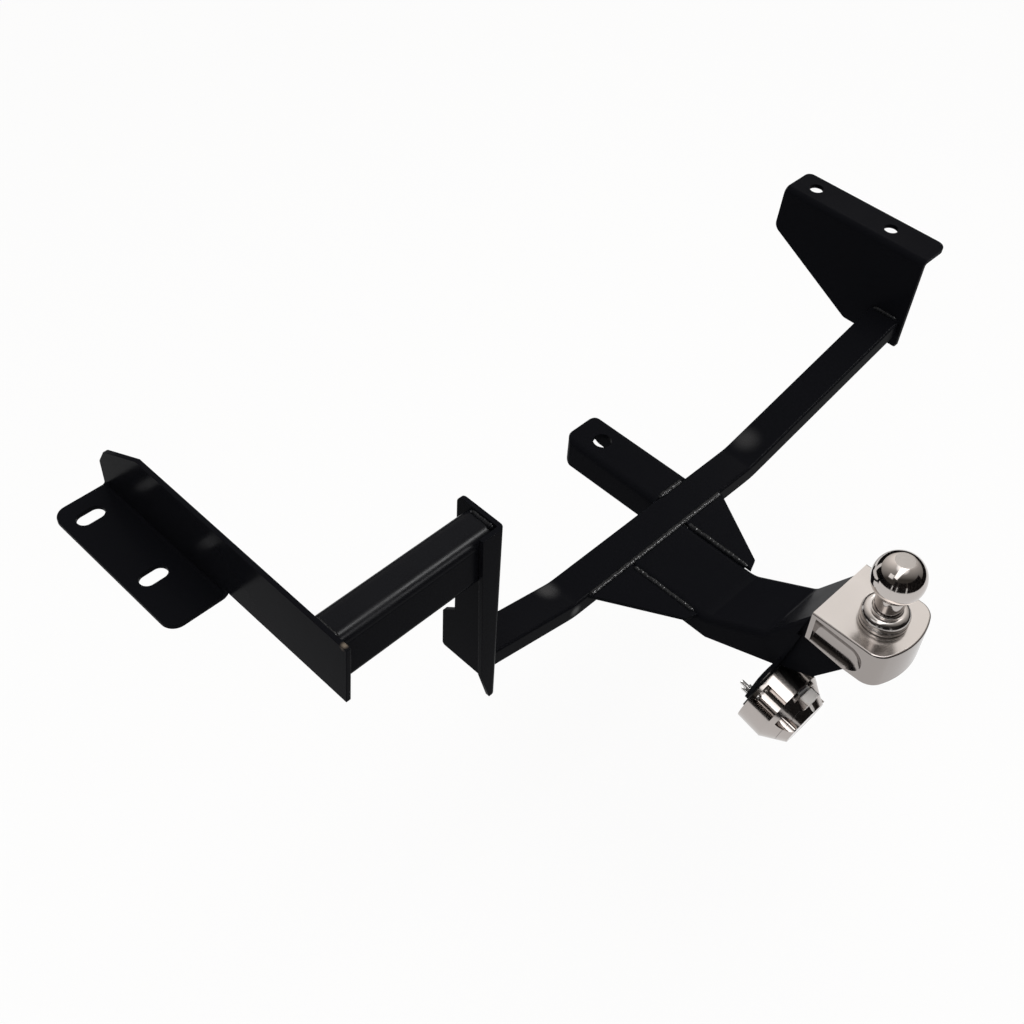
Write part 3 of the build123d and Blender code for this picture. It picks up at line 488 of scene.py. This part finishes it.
@dataclass
class Workshop:
    """Makes pieces from meshes and dresses them in the finishes."""

    materials: dict[str, bpy.types.Material] = field(default_factory=dict)

    def __post_init__(self) -> None:
        """Build the node groups and every material once."""
        groups = {"smudges": smudge_group(), "skin": skin_group(), "dust_and_glints": dust_and_glint_group()}
        for key, finish in FINISHES.items():
            self.materials[key] = finish.material(groups)

    def piece(
        self,
        name: str,
        shape: bmesh.types.BMesh,
        finish: str,
        nodes: Sequence[str] = (),
        body: str = BODY,
        sharp: float = 32.0,
    ) -> bpy.types.Object:
        """Turn a bmesh into a finished piece that rides on a body.

        Args:
            name: Name of the piece.
            shape: The mesh under way; it is freed here.
            finish: Key of its finish.
            nodes: CAD nodes that it stands for.
            body: CAD body that it moves with.
            sharp: Edge angle in degrees above which shading breaks.

        Returns:
            The new object.
        """
        mesh = bpy.data.meshes.new(name)
        bmesh.ops.recalc_face_normals(shape, faces=shape.faces)
        for face in shape.faces:
            face.smooth = True
        shape.to_mesh(mesh)
        shape.free()
        mesh.set_sharp_from_angle(angle=math.radians(sharp))
        mesh.materials.append(self.materials[finish])
        made = bpy.data.objects.new(name, mesh)
        even = made.modifiers.new("even_faces", "WEIGHTED_NORMAL")
        even.keep_sharp = True
        bpy.context.scene.collection.objects.link(made)
        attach(made, body)
        if nodes:
            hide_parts(*nodes)
        LOG.info("%s: %d faces, %s", name, len(mesh.polygons), finish)
        return made

    def dress(self, node: str, finish: str) -> None:
        """Give a CAD node a finish, its mesh left as it is.

        Args:
            node: CAD node to dress.
            finish: Key of its finish.
        """
        target = frame["nodes"][node]
        target.data.materials.clear()
        target.data.materials.append(self.materials[finish])
        LOG.info("%s: CAD node, %s", node, finish)

    def refinish(
        self, target: bpy.types.Object, finish: str, chosen: Callable[[bpy.types.MeshPolygon], bool]
    ) -> None:
        """Give some faces of a piece a further finish.

        Args:
            target: Piece or CAD node that has its main finish.
            finish: Key of the further finish.
            chosen: Tells whether a face takes it.
        """
        materials = target.data.materials
        materials.append(self.materials[finish])
        for face in target.data.polygons:
            if chosen(face):
                face.material_index = len(materials) - 1

    def eased(
        self,
        node: str,
        finish: str,
        edge: float,
        body: str = BODY,
        sharp: float = 32.0,
        steps: int = 2,
        blunt: Sequence[tuple[tuple[float, float, float], float]] = (),
    ) -> bpy.types.Object:
        """Copy a CAD node with its sharp edges rounded, as paint leaves them.

        Args:
            node: CAD node that the piece stands for.
            finish: Key of its finish.
            edge: Rounding of the edges in millimetres.
            body: CAD body that it moves with.
            sharp: Edge angle in degrees that counts as sharp.
            steps: Segments of the rounding.
            blunt: Middles of corner edges to round further, each with its radius.

        Returns:
            The new object.
        """
        shape = bmesh.new()
        shape.from_mesh(frame["nodes"][node].data)
        bmesh.ops.remove_doubles(shape, verts=shape.verts, dist=SOLID_MERGE)
        bmesh.ops.dissolve_limit(
            shape, angle_limit=math.radians(FLAT_ANGLE), verts=shape.verts, edges=shape.edges
        )
        for spot, reach in blunt:
            corner = min(sharp_edges(shape, sharp), key=lambda one: distance(one, millimetres(*spot)))
            round_off(shape, [corner], reach, BLUNT_STEPS)
        round_off(shape, sharp_edges(shape, sharp), edge, steps)
        return self.piece(f"{node}_look", shape, finish, [node], body, sharp)


def turned(profile: Iterable[tuple[float, float]], steps: int) -> bmesh.types.BMesh:
    """Body turned about Z from radius and height in millimetres.

    Args:
        profile: Points from one end of the axis to the other.
        steps: Sides of the turned body.

    Returns:
        A closed bmesh.
    """
    shape = bmesh.new()
    points = [shape.verts.new(millimetres(r, 0.0, z)) for r, z in profile]
    edges = [shape.edges.new(pair) for pair in zip(points, points[1:])]
    bmesh.ops.spin(
        shape, geom=points + edges, cent=(0, 0, 0), axis=(0, 0, 1), angle=math.tau,
        steps=steps, use_merge=True, use_duplicate=False,
    )
    bmesh.ops.remove_doubles(shape, verts=shape.verts, dist=TURNED_MERGE)
    return shape


def arc(
    middle: tuple[float, float], radius: float, start: float, end: float, steps: int
) -> list[tuple[float, float]]:
    """Points of an arc, angles in degrees from the first axis."""
    angles = [math.radians(start + (end - start) * n / steps) for n in range(steps + 1)]
    return [(middle[0] + radius * math.cos(a), middle[1] + radius * math.sin(a)) for a in angles]


def carried(
    line: Sequence[Vector], radius: Callable[[float, float], float], sides: int
) -> bmesh.types.BMesh:
    """Round body carried along a line, its ring extruded from point to point.

    Args:
        line: Centre line in metres.
        radius: Radius in metres from the share of the way and the angle.
        sides: Sides of the ring.

    Returns:
        A closed bmesh.
    """
    shape = bmesh.new()
    ring = bmesh.ops.create_circle(shape, cap_ends=False, radius=1.0, segments=sides)["verts"]
    flat = [vert.co.copy() for vert in ring]
    heading = (line[1] - line[0]).normalized()
    turn = Vector(Axis.Z.value).rotation_difference(heading)
    edges = list(shape.edges)
    first = list(ring)
    for number, point in enumerate(line):
        before = line[max(number - 1, 0)]
        after = line[min(number + 1, len(line) - 1)]
        way = (after - before).normalized()
        turn = heading.rotation_difference(way) @ turn
        heading = way
        if number:
            grown = bmesh.ops.extrude_edge_only(shape, edges=edges)["geom"]
            moved = [item for item in grown if isinstance(item, bmesh.types.BMVert)]
            edges = [item for item in grown if isinstance(item, bmesh.types.BMEdge)]
            ring = moved
        share = number / (len(line) - 1)
        for vert, base in zip(ring, flat):
            angle = math.atan2(base.y, base.x)
            vert.co = point + turn @ (base * radius(share, angle))
    for loop in (first, ring):
        bmesh.ops.contextual_create(shape, geom=list(loop))
    return shape


@dataclass
class WeldBead:
    """One hand-laid bead with its ripples."""

    node: str
    start: tuple[float, float, float]
    end: tuple[float, float, float]
    radius: float = 3.3
    pitch: float = 2.6
    lean: float = 0.25
    swell: float = 0.12
    lump: float = 0.16
    lump_along: float = 0.33
    lump_round: float = 0.6
    step: float = 0.45
    fewest: int = 24
    wander: float = 0.35
    wander_scale: float = 160.0
    end_share: float = 0.35
    end_length: float = 3.0
    sides: int = 18
    sharp: float = 60.0

    def build(self, shop: Workshop) -> bpy.types.Object:
        """Lay the bead along its joint.

        Args:
            shop: Workshop that dresses the bead.

        Returns:
            The new object.
        """
        begin, end = millimetres(*self.start), millimetres(*self.end)
        length = (end - begin).length / MM
        count = max(self.fewest, round(length / self.step))
        line = []
        for number in range(count + 1):
            spot = begin.lerp(end, number / count)
            line.append(spot + noise.noise_vector(spot * self.wander_scale) * self.wander * MM)

        def radius(share: float, angle: float) -> float:
            """Work out the radius of the bead, pinched at its ends.

            Args:
                share: Share of the way along the bead.
                angle: Angle round it in radians.

            Returns:
                The radius in metres.
            """
            along = share * length
            ripple = (along / self.pitch + self.lean * math.cos(angle)) % 1.0
            lump = noise.noise(Vector((along * self.lump_along, angle * self.lump_round, length)))
            to_end = min(share, 1 - share) * length
            pinch = min(1.0, self.end_share + (1 - self.end_share) * to_end / self.end_length)
            return self.radius * MM * pinch * (1 + self.swell * (0.5 - ripple) + self.lump * lump)

        shape = carried(line, radius, self.sides)
        return shop.piece(f"{self.node}_bead", shape, "weld", [self.node], sharp=self.sharp)


@dataclass
class WeldedFrame:
    """The painted frame: plates with eased edges and beads along their joints."""

    plates: dict[str, float] = field(
        default_factory=lambda: {
            "crossbar": 0.4,
            "upright_bracket": 0.6,
            "left_side_plate": 0.6,
            "right_bracket": 0.6,
            "front_tongue": 0.6,
            "rear_tongue": 0.6,
            "gusset_left": 0.5,
            "gusset_right": 0.5,
            "socket_bracket": 0.5,
            "ball_carrier": 0.8,
        }
    )
    blunt: dict[str, tuple[tuple[tuple[float, float, float], float], ...]] = field(
        default_factory=lambda: {"right_bracket": (((-248.1, 470.0, -17.5), 12.0),)}
    )
    bar_edge_x: float = -255.0
    bar_front_x: float = -295.0
    bar_top_z: float = -165.0
    bar_end_xs: tuple[float, float] = (-291.0, -259.0)
    tongue_half: float = 43.0
    gusset_xs: tuple[float, float] = (-249.0, -168.0)
    front_tongue_ys: tuple[float, float] = (50.0, 88.0)
    rear_bead_half: float = 105.0
    rear_bead_out: float = 0.6
    side_bead_out: float = 0.4
    bead_sink: float = 1.2
    right_bead: tuple[float, float] = (422.4, -103.4)
    upright_bead: tuple[float, float] = (-244.4, -135.8)
    tube_end_xs: tuple[float, float] = (-283.0, -255.0)
    tube_left_bead: tuple[float, float] = (-422.0, 46.6)
    tube_right_bead: tuple[float, float] = (-250.6, 46.6)
    tube_corner: float = 12.0
    tube_steps: int = 18
    tube_sharp: float = 40.0
    rolled_above: float = 0.2
    seed: int = 7

    @staticmethod
    def along_x(node: str, xs: tuple[float, float], y: float, z: float) -> WeldBead:
        """Bead that runs along X between two places."""
        return WeldBead(node, (xs[0], y, z), (xs[1], y, z))

    @staticmethod
    def along_y(node: str, x: float, ys: tuple[float, float], z: float) -> WeldBead:
        """Bead that runs along Y between two places."""
        return WeldBead(node, (x, ys[0], z), (x, ys[1], z))

    def beads(self) -> list[WeldBead]:
        """Lay out the beads of the frame, in row coordinates.

        Returns:
            The beads, none of them built yet.
        """
        top = self.bar_top_z - self.bead_sink
        rear = self.bar_edge_x + self.rear_bead_out
        side = self.tongue_half + self.side_bead_out
        half = self.rear_bead_half
        return [
            self.along_y("weld_crossbar", rear, (-half, half), top),
            self.along_x("weld_gusset_left", self.gusset_xs, -side, top),
            self.along_x("weld_gusset_right", self.gusset_xs, side, top),
            self.along_y("weld_front_tongue", self.bar_front_x, self.front_tongue_ys, top),
            self.along_x("weld_right_bracket", self.bar_end_xs, *self.right_bead),
            self.along_x("weld_upright", self.bar_end_xs, *self.upright_bead),
            self.along_x("weld_stub_left", self.tube_end_xs, *self.tube_left_bead),
            self.along_x("weld_stub_right", self.tube_end_xs, *self.tube_right_bead),
        ]

    def tube(self, shop: Workshop) -> None:
        """Roll the short tube, its long corners rounder than the solid's.

        Args:
            shop: Workshop that dresses the tube.
        """
        low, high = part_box("stub_tube")
        shape = bmesh.new()
        bmesh.ops.create_cube(shape, size=1.0)
        size = [high[n] - low[n] for n in range(3)]
        bmesh.ops.scale(shape, verts=shape.verts, vec=size)
        middle = [(high[n] + low[n]) / 2 for n in range(3)]
        bmesh.ops.translate(shape, verts=shape.verts, vec=middle)
        edges = [
            one for one in shape.edges
            if abs(one.verts[0].co.y - one.verts[1].co.y) > size[1] / 2
        ]
        round_off(shape, edges, self.tube_corner, self.tube_steps)
        made = shop.piece("stub_tube_rolled", shape, "paint", ["stub_tube"], sharp=self.tube_sharp)
        shop.refinish(made, "rolled", lambda face: face.normal.z > self.rolled_above)

    def build(self, shop: Workshop) -> None:
        """Make the plates and the beads.

        Args:
            shop: Workshop that dresses them.
        """
        self.tube(shop)
        for node, edge in self.plates.items():
            shop.eased(node, "paint", edge, blunt=self.blunt.get(node, ()))
        noise.seed_set(self.seed)
        for bead in self.beads():
            bead.build(shop)


@dataclass
class TowBall:
    """Ball with its waisted neck and rounded collar, turned in one piece."""

    ball: float = 25.0
    flat: float = 9.0
    flat_rim: float = 0.4
    rim_turn: float = 1.0
    neck: float = 14.0
    flare: float = 1.2
    collar: float = 23.0
    collar_top: float = -41.0
    collar_low: float = -51.4
    collar_edge: float = 0.8
    shank: float = 11.0
    shank_end: float = -101.0
    shank_tip: float = 1.5
    ball_steps: int = 44
    round_steps: int = 10
    sides: int = 128
    flat_depth: float = 0.3
    bare_below: float = 2.0
    upward: float = 0.99
    ring_edge: float = 0.6
    ring_steps: int = 3
    washer_edge: float = 0.3
    nut_edge: float = 0.5

    def flat_z(self) -> float:
        """Height of the flat on top of the ball."""
        return math.sqrt(self.ball**2 - self.flat**2)

    def profile(self) -> list[tuple[float, float]]:
        """Draw the ball's outline from its top down.

        Returns:
            Radius and height of each point in millimetres.
        """
        flat_z = self.flat_z()
        top = math.degrees(math.atan2(flat_z, self.flat))
        low = -math.degrees(math.acos(self.neck / self.ball))
        points = [(0.0, flat_z), (self.flat / 2, flat_z), (self.flat - self.flat_rim, flat_z)]
        points += arc((0.0, 0.0), self.ball, top - self.rim_turn, low, self.ball_steps)
        foot = self.neck + self.flare
        points += arc((foot, self.collar_top + self.flare), self.flare, 180.0, 270.0, self.round_steps)
        bulge = self.collar - foot
        points += arc((foot, self.collar_top - bulge), bulge, 90.0, 0.0, self.round_steps)[1:]
        points += [(self.collar, self.collar_low + self.collar_edge)]
        points += [(self.collar - self.collar_edge, self.collar_low)]
        points += [(self.shank, self.collar_low), (self.shank, self.shank_end + self.shank_tip)]
        points += [(self.shank - self.shank_tip, self.shank_end), (0.0, self.shank_end)]
        return points

    def build(self, shop: Workshop) -> None:
        """Turn the ball and dress what holds it.

        Args:
            shop: Workshop that dresses the pieces.
        """
        shape = turned(self.profile(), self.sides)
        made = shop.piece("tow_ball_turned", shape, "chrome", ["tow_ball"])
        flat_z = (self.flat_z() - self.flat_depth) * MM
        low_z = (self.collar_low - self.bare_below) * MM
        neck_z = (self.collar_top + self.flare) * MM
        shop.refinish(made, "bare", lambda face: face.center.z > flat_z or face.center.z < low_z)
        shop.refinish(made, "brushed", lambda face: low_z <= face.center.z < neck_z)
        shop.eased("ball_seat_ring", "brushed", self.ring_edge, steps=self.ring_steps)
        shop.eased("ball_washer", "zinc", self.washer_edge)
        shop.eased("ball_nut", "zinc", self.nut_edge)
        # The cover's sides take the darker copy of the chrome as painted shade, and its flat top the brighter
        # brushed chrome
        shop.dress("ball_cover", "satin")
        cover = frame["nodes"]["ball_cover"]
        shop.refinish(cover, "brushed", lambda face: face.normal.z > self.upward)


@dataclass
class Socket:
    """Trailer socket: its own axes run across, up and out of its base."""

    place: tuple[float, float, float] = (-73.0, -38.3, -201.0)
    pitch: float = 12.0
    hinge_up: float = 37.5
    hinge_out: float = 31.4
    wire: float = 0.45
    wire_sides: int = 12
    coil: float = 1.9
    coil_pitch: float = 1.9
    turns: int = 6
    turn_steps: int = 24
    leg: float = 2.1
    screws: tuple[tuple[float, float], ...] = ((-26.5, 16.0), (26.5, 16.0), (0.0, -31.0))
    screw_floor: float = 4.0
    screw_head: float = 4.1
    head_top: float = 7.0
    head_arc: tuple[float, float] = (46.0, 4.0)
    head_steps: int = 6
    screw_r: float = 2.5
    screw_sides: int = 24
    screw_tail: float = 18.0
    thread: float = 0.8
    thread_crest: float = 0.15
    thread_depth: float = 0.22
    thread_sag: float = 0.05
    thread_stop: float = 1.2
    tip_neck: float = 0.4
    tip_in: float = 0.9
    block_low: float = 27.8
    block_half: float = 8.6
    casting_edge: float = 0.3
    small_edge: float = 0.2

    def matrix(self) -> Matrix:
        """Place the socket's own axes in the row frame.

        Returns:
            Matrix from the socket's axes, in metres, to the row frame.
        """
        tilt = math.radians(self.pitch)
        across = Vector((0.0, 1.0, 0.0))
        out = Vector((math.cos(tilt), 0.0, -math.sin(tilt)))
        up = out.cross(across)
        turn = Matrix((across, up, out)).transposed().to_4x4()
        return Matrix.Translation(millimetres(*self.place)) @ turn

    def spring(self, shop: Workshop) -> None:
        """Wind the lid spring with its two legs.

        Args:
            shop: Workshop that dresses the spring.
        """
        half = self.coil_pitch * self.turns / 2
        top = self.hinge_up + self.coil
        line = [millimetres(-half, top, self.hinge_out - self.leg)]
        for number in range(self.turn_steps * self.turns + 1):
            angle = math.tau * number / self.turn_steps
            line.append(
                millimetres(
                    -half + self.coil_pitch * number / self.turn_steps,
                    self.hinge_up + self.coil * math.cos(angle),
                    self.hinge_out + self.coil * math.sin(angle),
                )
            )
        line.append(millimetres(half, top, self.hinge_out + self.leg))
        shape = carried(line, lambda share, angle: self.wire * MM, self.wire_sides)
        bmesh.ops.transform(shape, matrix=self.matrix(), verts=shape.verts)
        shop.piece("lid_spring_wound", shape, "spring", ["lid_spring"])

    def fasteners(self, shop: Workshop) -> None:
        """Turn the screws with their domed heads and threaded tails.

        Args:
            shop: Workshop that dresses the screws.
        """
        head = self.screw_head
        groove = self.screw_r - self.thread_depth
        profile = [(0.0, self.head_top)]
        profile += arc((0.0, self.screw_floor), head, *self.head_arc, self.head_steps)
        profile += [(head, self.screw_floor), (self.screw_r, self.screw_floor)]
        z = 0.0
        while z > self.thread_stop - self.screw_tail:
            profile += [(self.screw_r, z), (self.screw_r, z - self.thread_crest)]
            profile += [(groove, z - self.thread / 2 - self.thread_sag)]
            z -= self.thread
        profile += [(groove, self.tip_neck - self.screw_tail)]
        profile += [(self.screw_r - self.tip_in, -self.screw_tail), (0.0, -self.screw_tail)]
        whole = bmesh.new()
        for across, up in self.screws:
            one = turned(profile, self.screw_sides)
            bmesh.ops.translate(one, verts=one.verts, vec=millimetres(across, up, 0.0))
            spare = bpy.data.meshes.new("spare")
            one.to_mesh(spare)
            one.free()
            whole.from_mesh(spare)
            bpy.data.meshes.remove(spare)
        bmesh.ops.transform(whole, matrix=self.matrix(), verts=whole.verts)
        shop.piece("socket_screws_threaded", whole, "zinc", ["socket_screws"])

    def build(self, shop: Workshop) -> None:
        """Dress every piece of the socket.

        Args:
            shop: Workshop that dresses the pieces.
        """
        shop.eased("socket_housing", "alloy", self.casting_edge)
        lid = shop.eased("socket_lid", "alloy", self.casting_edge, body=LID_BODY)
        home = self.matrix().inverted()

        def on_block(face: bpy.types.MeshPolygon) -> bool:
            """Tell whether a face of the lid belongs to its hinge block.

            Args:
                face: Face of the lid.

            Returns:
                True on the block.
            """
            place = (home @ face.center) / MM
            return place.y > self.block_low and abs(place.x) < self.block_half

        shop.refinish(lid, "cast", on_block)
        shop.eased("hinge_pin", "zinc", self.small_edge)
        self.fasteners(shop)
        for node, finish in (
            ("socket_nuts", "zinc"),
            ("socket_gasket", "rubber"),
            ("cable_grommet", "rubber"),
            ("lid_seal", "rubber"),
            ("contact_insert", "plastic"),
            ("contact_pins", "brass"),
        ):
            shop.eased(node, finish, self.small_edge)
        self.spring(shop)


@dataclass(frozen=True)
class Panel:
    """A soft lamp: direction from the part, distance, size and radiance."""

    name: str
    way: tuple[float, float, float]
    along: tuple[float, float, float]
    far: float
    wide: float
    long: float
    level: float
    paint_only: bool = False


@dataclass
class Studio:
    """Pale floor, soft light and the camera of the photograph."""

    painted: bpy.types.Collection | None = None
    floor_z: float = -0.62
    floor_reach: float = 6.0
    floor_grey: float = 0.9
    floor_rough: float = 0.9
    floor_glow: float = 0.88
    bright_way: tuple[float, float, float] = (-0.45, 0.5, 0.74)
    sky_dark: tuple[float, float, float] = (0.06, 0.055, 0.05)
    sky_bright: tuple[float, float, float] = (1.3, 1.28, 1.26)
    sky_tint: tuple[float, float, float] = (1.0, 0.96, 0.92)
    sky_levels: tuple[tuple[float, float], ...] = ((0.3, 0.3), (0.55, 0.5), (0.8, 0.95), (0.93, 1.3))
    cap_bright: tuple[float, float, float] = (2.0, 1.98, 1.95)
    cap_top: float = 0.97
    cap_levels: tuple[tuple[float, float], ...] = ((0.84, 0.0), (0.9, 0.7))
    horizon_top: float = 0.1
    horizon_soft: float = 0.02
    cards: tuple[tuple[float, float, float], ...] = (
        (-172.0, -84.0, 0.35),
        (-80.5, -66.0, 1.15),
        (-63.0, -31.0, 1.15),
        (-27.0, 35.0, 1.15),
        (35.0, 176.0, 0.28),
    )
    card_far: float = 2.2
    card_low: float = -0.61
    card_black: tuple[float, float, float] = (0.012, 0.011, 0.011)
    card_steps: int = 16
    middle: tuple[float, float, float] = (-0.15, -0.1, -0.1)
    panels: tuple[Panel, ...] = (
        Panel("ceiling", (0.17, -0.12, 1.0), Axis.Y.value, 2.1, 0.7, 3.9, 2.1),
        Panel("tube_strip", (0.28, 0.43, 0.86), Axis.Y.value, 2.3, 0.5, 1.2, 60.0, True),
        Panel("rear_strip", (0.77, 0.43, 0.46), Axis.Y.value, 2.2, 0.5, 1.6, 18.0, True),
        Panel("side_window", (-0.2, -0.72, 0.6), Axis.X.value, 2.3, 0.7, 0.8, 1.1),
        Panel("far_window", (-0.4, 0.8, 0.62), Axis.Z.value, 2.4, 0.35, 0.4, 5.0),
    )
    lens: float = 48.73
    sensor: float = 36.0
    eye: tuple[float, float, float] = (279.8, -820.2, 920.3)
    right: tuple[float, float, float] = (0.70776, 0.70508, 0.04403)
    down: tuple[float, float, float] = (0.5417, -0.50163, -0.67448)
    ahead: tuple[float, float, float] = (-0.45348, 0.50122, -0.73698)

    def camera(self) -> None:
        """Stand the camera where the photograph was taken from."""
        data = bpy.data.cameras.new("camera")
        data.lens = self.lens
        data.sensor_width = self.sensor
        eye = bpy.data.objects.new("camera", data)
        turn = Matrix((Vector(self.right), -Vector(self.down), -Vector(self.ahead))).transposed()
        eye.matrix_world = Matrix.Translation(millimetres(*self.eye)) @ turn.to_4x4()
        bpy.context.scene.collection.objects.link(eye)
        bpy.context.scene.camera = eye

    @staticmethod
    def prop(name: str, shape: bmesh.types.BMesh, material: bpy.types.Material) -> bpy.types.Object:
        """Turn a bmesh into a piece of the studio.

        Args:
            name: Name of the piece.
            shape: The mesh under way; it is freed here.
            material: What it is made of.

        Returns:
            The new object.
        """
        mesh = bpy.data.meshes.new(name)
        shape.to_mesh(mesh)
        shape.free()
        mesh.materials.append(material)
        made = bpy.data.objects.new(name, mesh)
        bpy.context.scene.collection.objects.link(made)
        return made

    def floor(self) -> None:
        """Lay a wide floor that looks white to the camera."""
        shape = bmesh.new()
        bmesh.ops.create_grid(shape, x_segments=2, y_segments=2, size=self.floor_reach)
        bmesh.ops.translate(shape, verts=shape.verts, vec=(0, 0, self.floor_z))
        made = bpy.data.materials.new("pale_floor")
        made.use_nodes = True
        tree = made.node_tree
        shader = tree.nodes["Principled BSDF"]
        shader.inputs["Base Color"].default_value = (self.floor_grey,) * 3 + (1.0,)
        shader.inputs["Roughness"].default_value = self.floor_rough
        glow = tree.nodes.new("ShaderNodeEmission")
        rays = tree.nodes.new("ShaderNodeLightPath").outputs
        seen = combine(tree, "MAXIMUM", rays["Is Camera Ray"], rays["Is Glossy Ray"])
        seen = combine(tree, "MAXIMUM", seen, rays["Is Transmission Ray"])
        mix = tree.nodes.new("ShaderNodeMixShader")
        tree.links.new(combine(tree, "MULTIPLY", seen, self.floor_glow), mix.inputs["Fac"])
        tree.links.new(shader.outputs["BSDF"], mix.inputs[1])
        tree.links.new(glow.outputs["Emission"], mix.inputs[2])
        tree.links.new(mix.outputs["Shader"], tree.nodes["Material Output"].inputs["Surface"])
        sheet = self.prop("floor", shape, made)

    @staticmethod
    def ramp(
        tree: bpy.types.NodeTree,
        value: bpy.types.NodeSocket,
        ends: Sequence[tuple[float, Sequence[float]]],
        steps: Sequence[tuple[float, Sequence[float]]],
    ) -> bpy.types.NodeSocket:
        """Turn a value into a colour.

        Args:
            tree: Node tree that takes the ramp.
            value: What the ramp reads.
            ends: Position and colour of the first and last step.
            steps: Position and colour of each step between them.

        Returns:
            Output socket of the colour.
        """
        node = tree.nodes.new("ShaderNodeValToRGB")
        tree.links.new(value, node.inputs["Fac"])
        marks = node.color_ramp.elements
        for number, (position, colour) in enumerate(ends):
            marks[number].position = position
            marks[number].color = (*colour, 1.0)
        for position, colour in steps:
            marks.new(position).color = (*colour, 1.0)
        return node.outputs["Color"]

    def world(self) -> None:
        """Pale surroundings that grow brighter towards the far side."""
        sky = bpy.data.worlds.new("studio")
        bpy.context.scene.world = sky
        sky.use_nodes = True
        tree = sky.node_tree
        place = tree.nodes.new("ShaderNodeTexCoord")
        near = tree.nodes.new("ShaderNodeVectorMath")
        near.operation = "DOT_PRODUCT"
        near.inputs[1].default_value = self.bright_way
        tree.links.new(place.outputs["Generated"], near.inputs[0])
        levels = [(at, [level * tint for tint in self.sky_tint]) for at, level in self.sky_levels]
        ends = ((0.0, self.sky_dark), (1.0, self.sky_bright))
        round_about = self.ramp(tree, near.outputs["Value"], ends, levels)
        split = tree.nodes.new("ShaderNodeSeparateXYZ")
        tree.links.new(place.outputs["Generated"], split.inputs["Vector"])
        levels = [(at, [level] * 3) for at, level in self.cap_levels]
        ends = ((0.0, (0.0, 0.0, 0.0)), (self.cap_top, self.cap_bright))
        overhead = self.ramp(tree, split.outputs["Z"], ends, levels)
        lift = tree.nodes.new("ShaderNodeMix")
        lift.data_type = "RGBA"
        lift.blend_type = "LIGHTEN"
        lift.inputs["Factor"].default_value = 1.0
        tree.links.new(round_about, lift.inputs["A"])
        tree.links.new(overhead, lift.inputs["B"])
        low = add_range(tree, self.horizon_top + self.horizon_soft, self.horizon_top)
        tree.links.new(split.outputs["Z"], low.inputs["Value"])
        mix = tree.nodes.new("ShaderNodeMix")
        mix.data_type = "RGBA"
        mix.inputs["B"].default_value = (1.0, 1.0, 1.0, 1.0)
        tree.links.new(low.outputs["Result"], mix.inputs["Factor"])
        tree.links.new(lift.outputs["Result"], mix.inputs["A"])
        tree.links.new(mix.outputs["Result"], tree.nodes["Background"].inputs["Color"])

    def flags(self) -> None:
        """Stand black cards round the part, for dark lines in bright metal."""
        made = bpy.data.materials.new("black_card")
        made.use_nodes = True
        shader = made.node_tree.nodes["Principled BSDF"]
        shader.inputs["Base Color"].default_value = (*self.card_black, 1.0)
        shader.inputs["Roughness"].default_value = 1.0
        shader.inputs["Specular IOR Level"].default_value = 0.0
        for number, (start, end, top) in enumerate(self.cards):
            shape = bmesh.new()
            first = Vector((self.card_far, 0.0, 0.0))
            low = shape.verts.new(first + Vector((0, 0, self.card_low)))
            high = shape.verts.new(first + Vector((0, 0, top)))
            edge = shape.edges.new((low, high))
            bmesh.ops.rotate(
                shape, verts=[low, high], cent=(0, 0, 0), matrix=Matrix.Rotation(math.radians(start), 3, "Z")
            )
            bmesh.ops.spin(
                shape, geom=[low, high, edge], cent=(0, 0, 0), axis=(0, 0, 1),
                angle=math.radians(end - start), steps=self.card_steps,
            )
            card = self.prop(f"card_{number}", shape, made)
            card.visible_camera = False
            card.visible_diffuse = False
            card.visible_shadow = False

    def lamp(self, panel: Panel) -> None:
        """Hang a soft panel that faces the part.

        Args:
            panel: Place, size and brightness of the lamp.
        """
        data = bpy.data.lights.new(panel.name, "AREA")
        data.shape = "RECTANGLE"
        data.size, data.size_y = panel.wide, panel.long
        data.energy = panel.level * math.pi * panel.wide * panel.long
        hung = bpy.data.objects.new(panel.name, data)
        away = Vector(panel.way).normalized()
        across = Vector(panel.along).cross(away).normalized()
        turn = Matrix((across, away.cross(across), away)).transposed().to_4x4()
        hung.matrix_world = Matrix.Translation(Vector(self.middle) + away * panel.far) @ turn
        bpy.context.scene.collection.objects.link(hung)
        if panel.paint_only:
            hung.light_linking.receiver_collection = self.painted
            hung.visible_diffuse = False

    def gather(self) -> None:
        """Collect the painted pieces, for the lamps that light paint alone."""
        paints = {finish.name for finish in FINISHES.values() if finish.slot is Slot.PAINT}
        self.painted = bpy.data.collections.new("painted")
        for piece in bpy.context.scene.objects:
            kinds = {slot.material.name for slot in piece.material_slots if slot.material}
            if kinds & paints:
                self.painted.objects.link(piece)

    def build(self) -> None:
        """Set up the whole studio."""
        bpy.context.scene.view_settings.view_transform = "Standard"
        self.camera()
        self.floor()
        self.world()
        self.flags()
        self.gather()
        for panel in self.panels:
            self.lamp(panel)


def main() -> None:
    """Build every piece, then the studio."""
    logging.basicConfig(level=logging.INFO, format="%(name)s %(message)s")
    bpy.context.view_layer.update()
    shop = Workshop()
    WeldedFrame().build(shop)
    TowBall().build(shop)
    Socket().build(shop)
    Studio().build()
    bpy.context.view_layer.update()


if __name__ == "__main__":
    main()
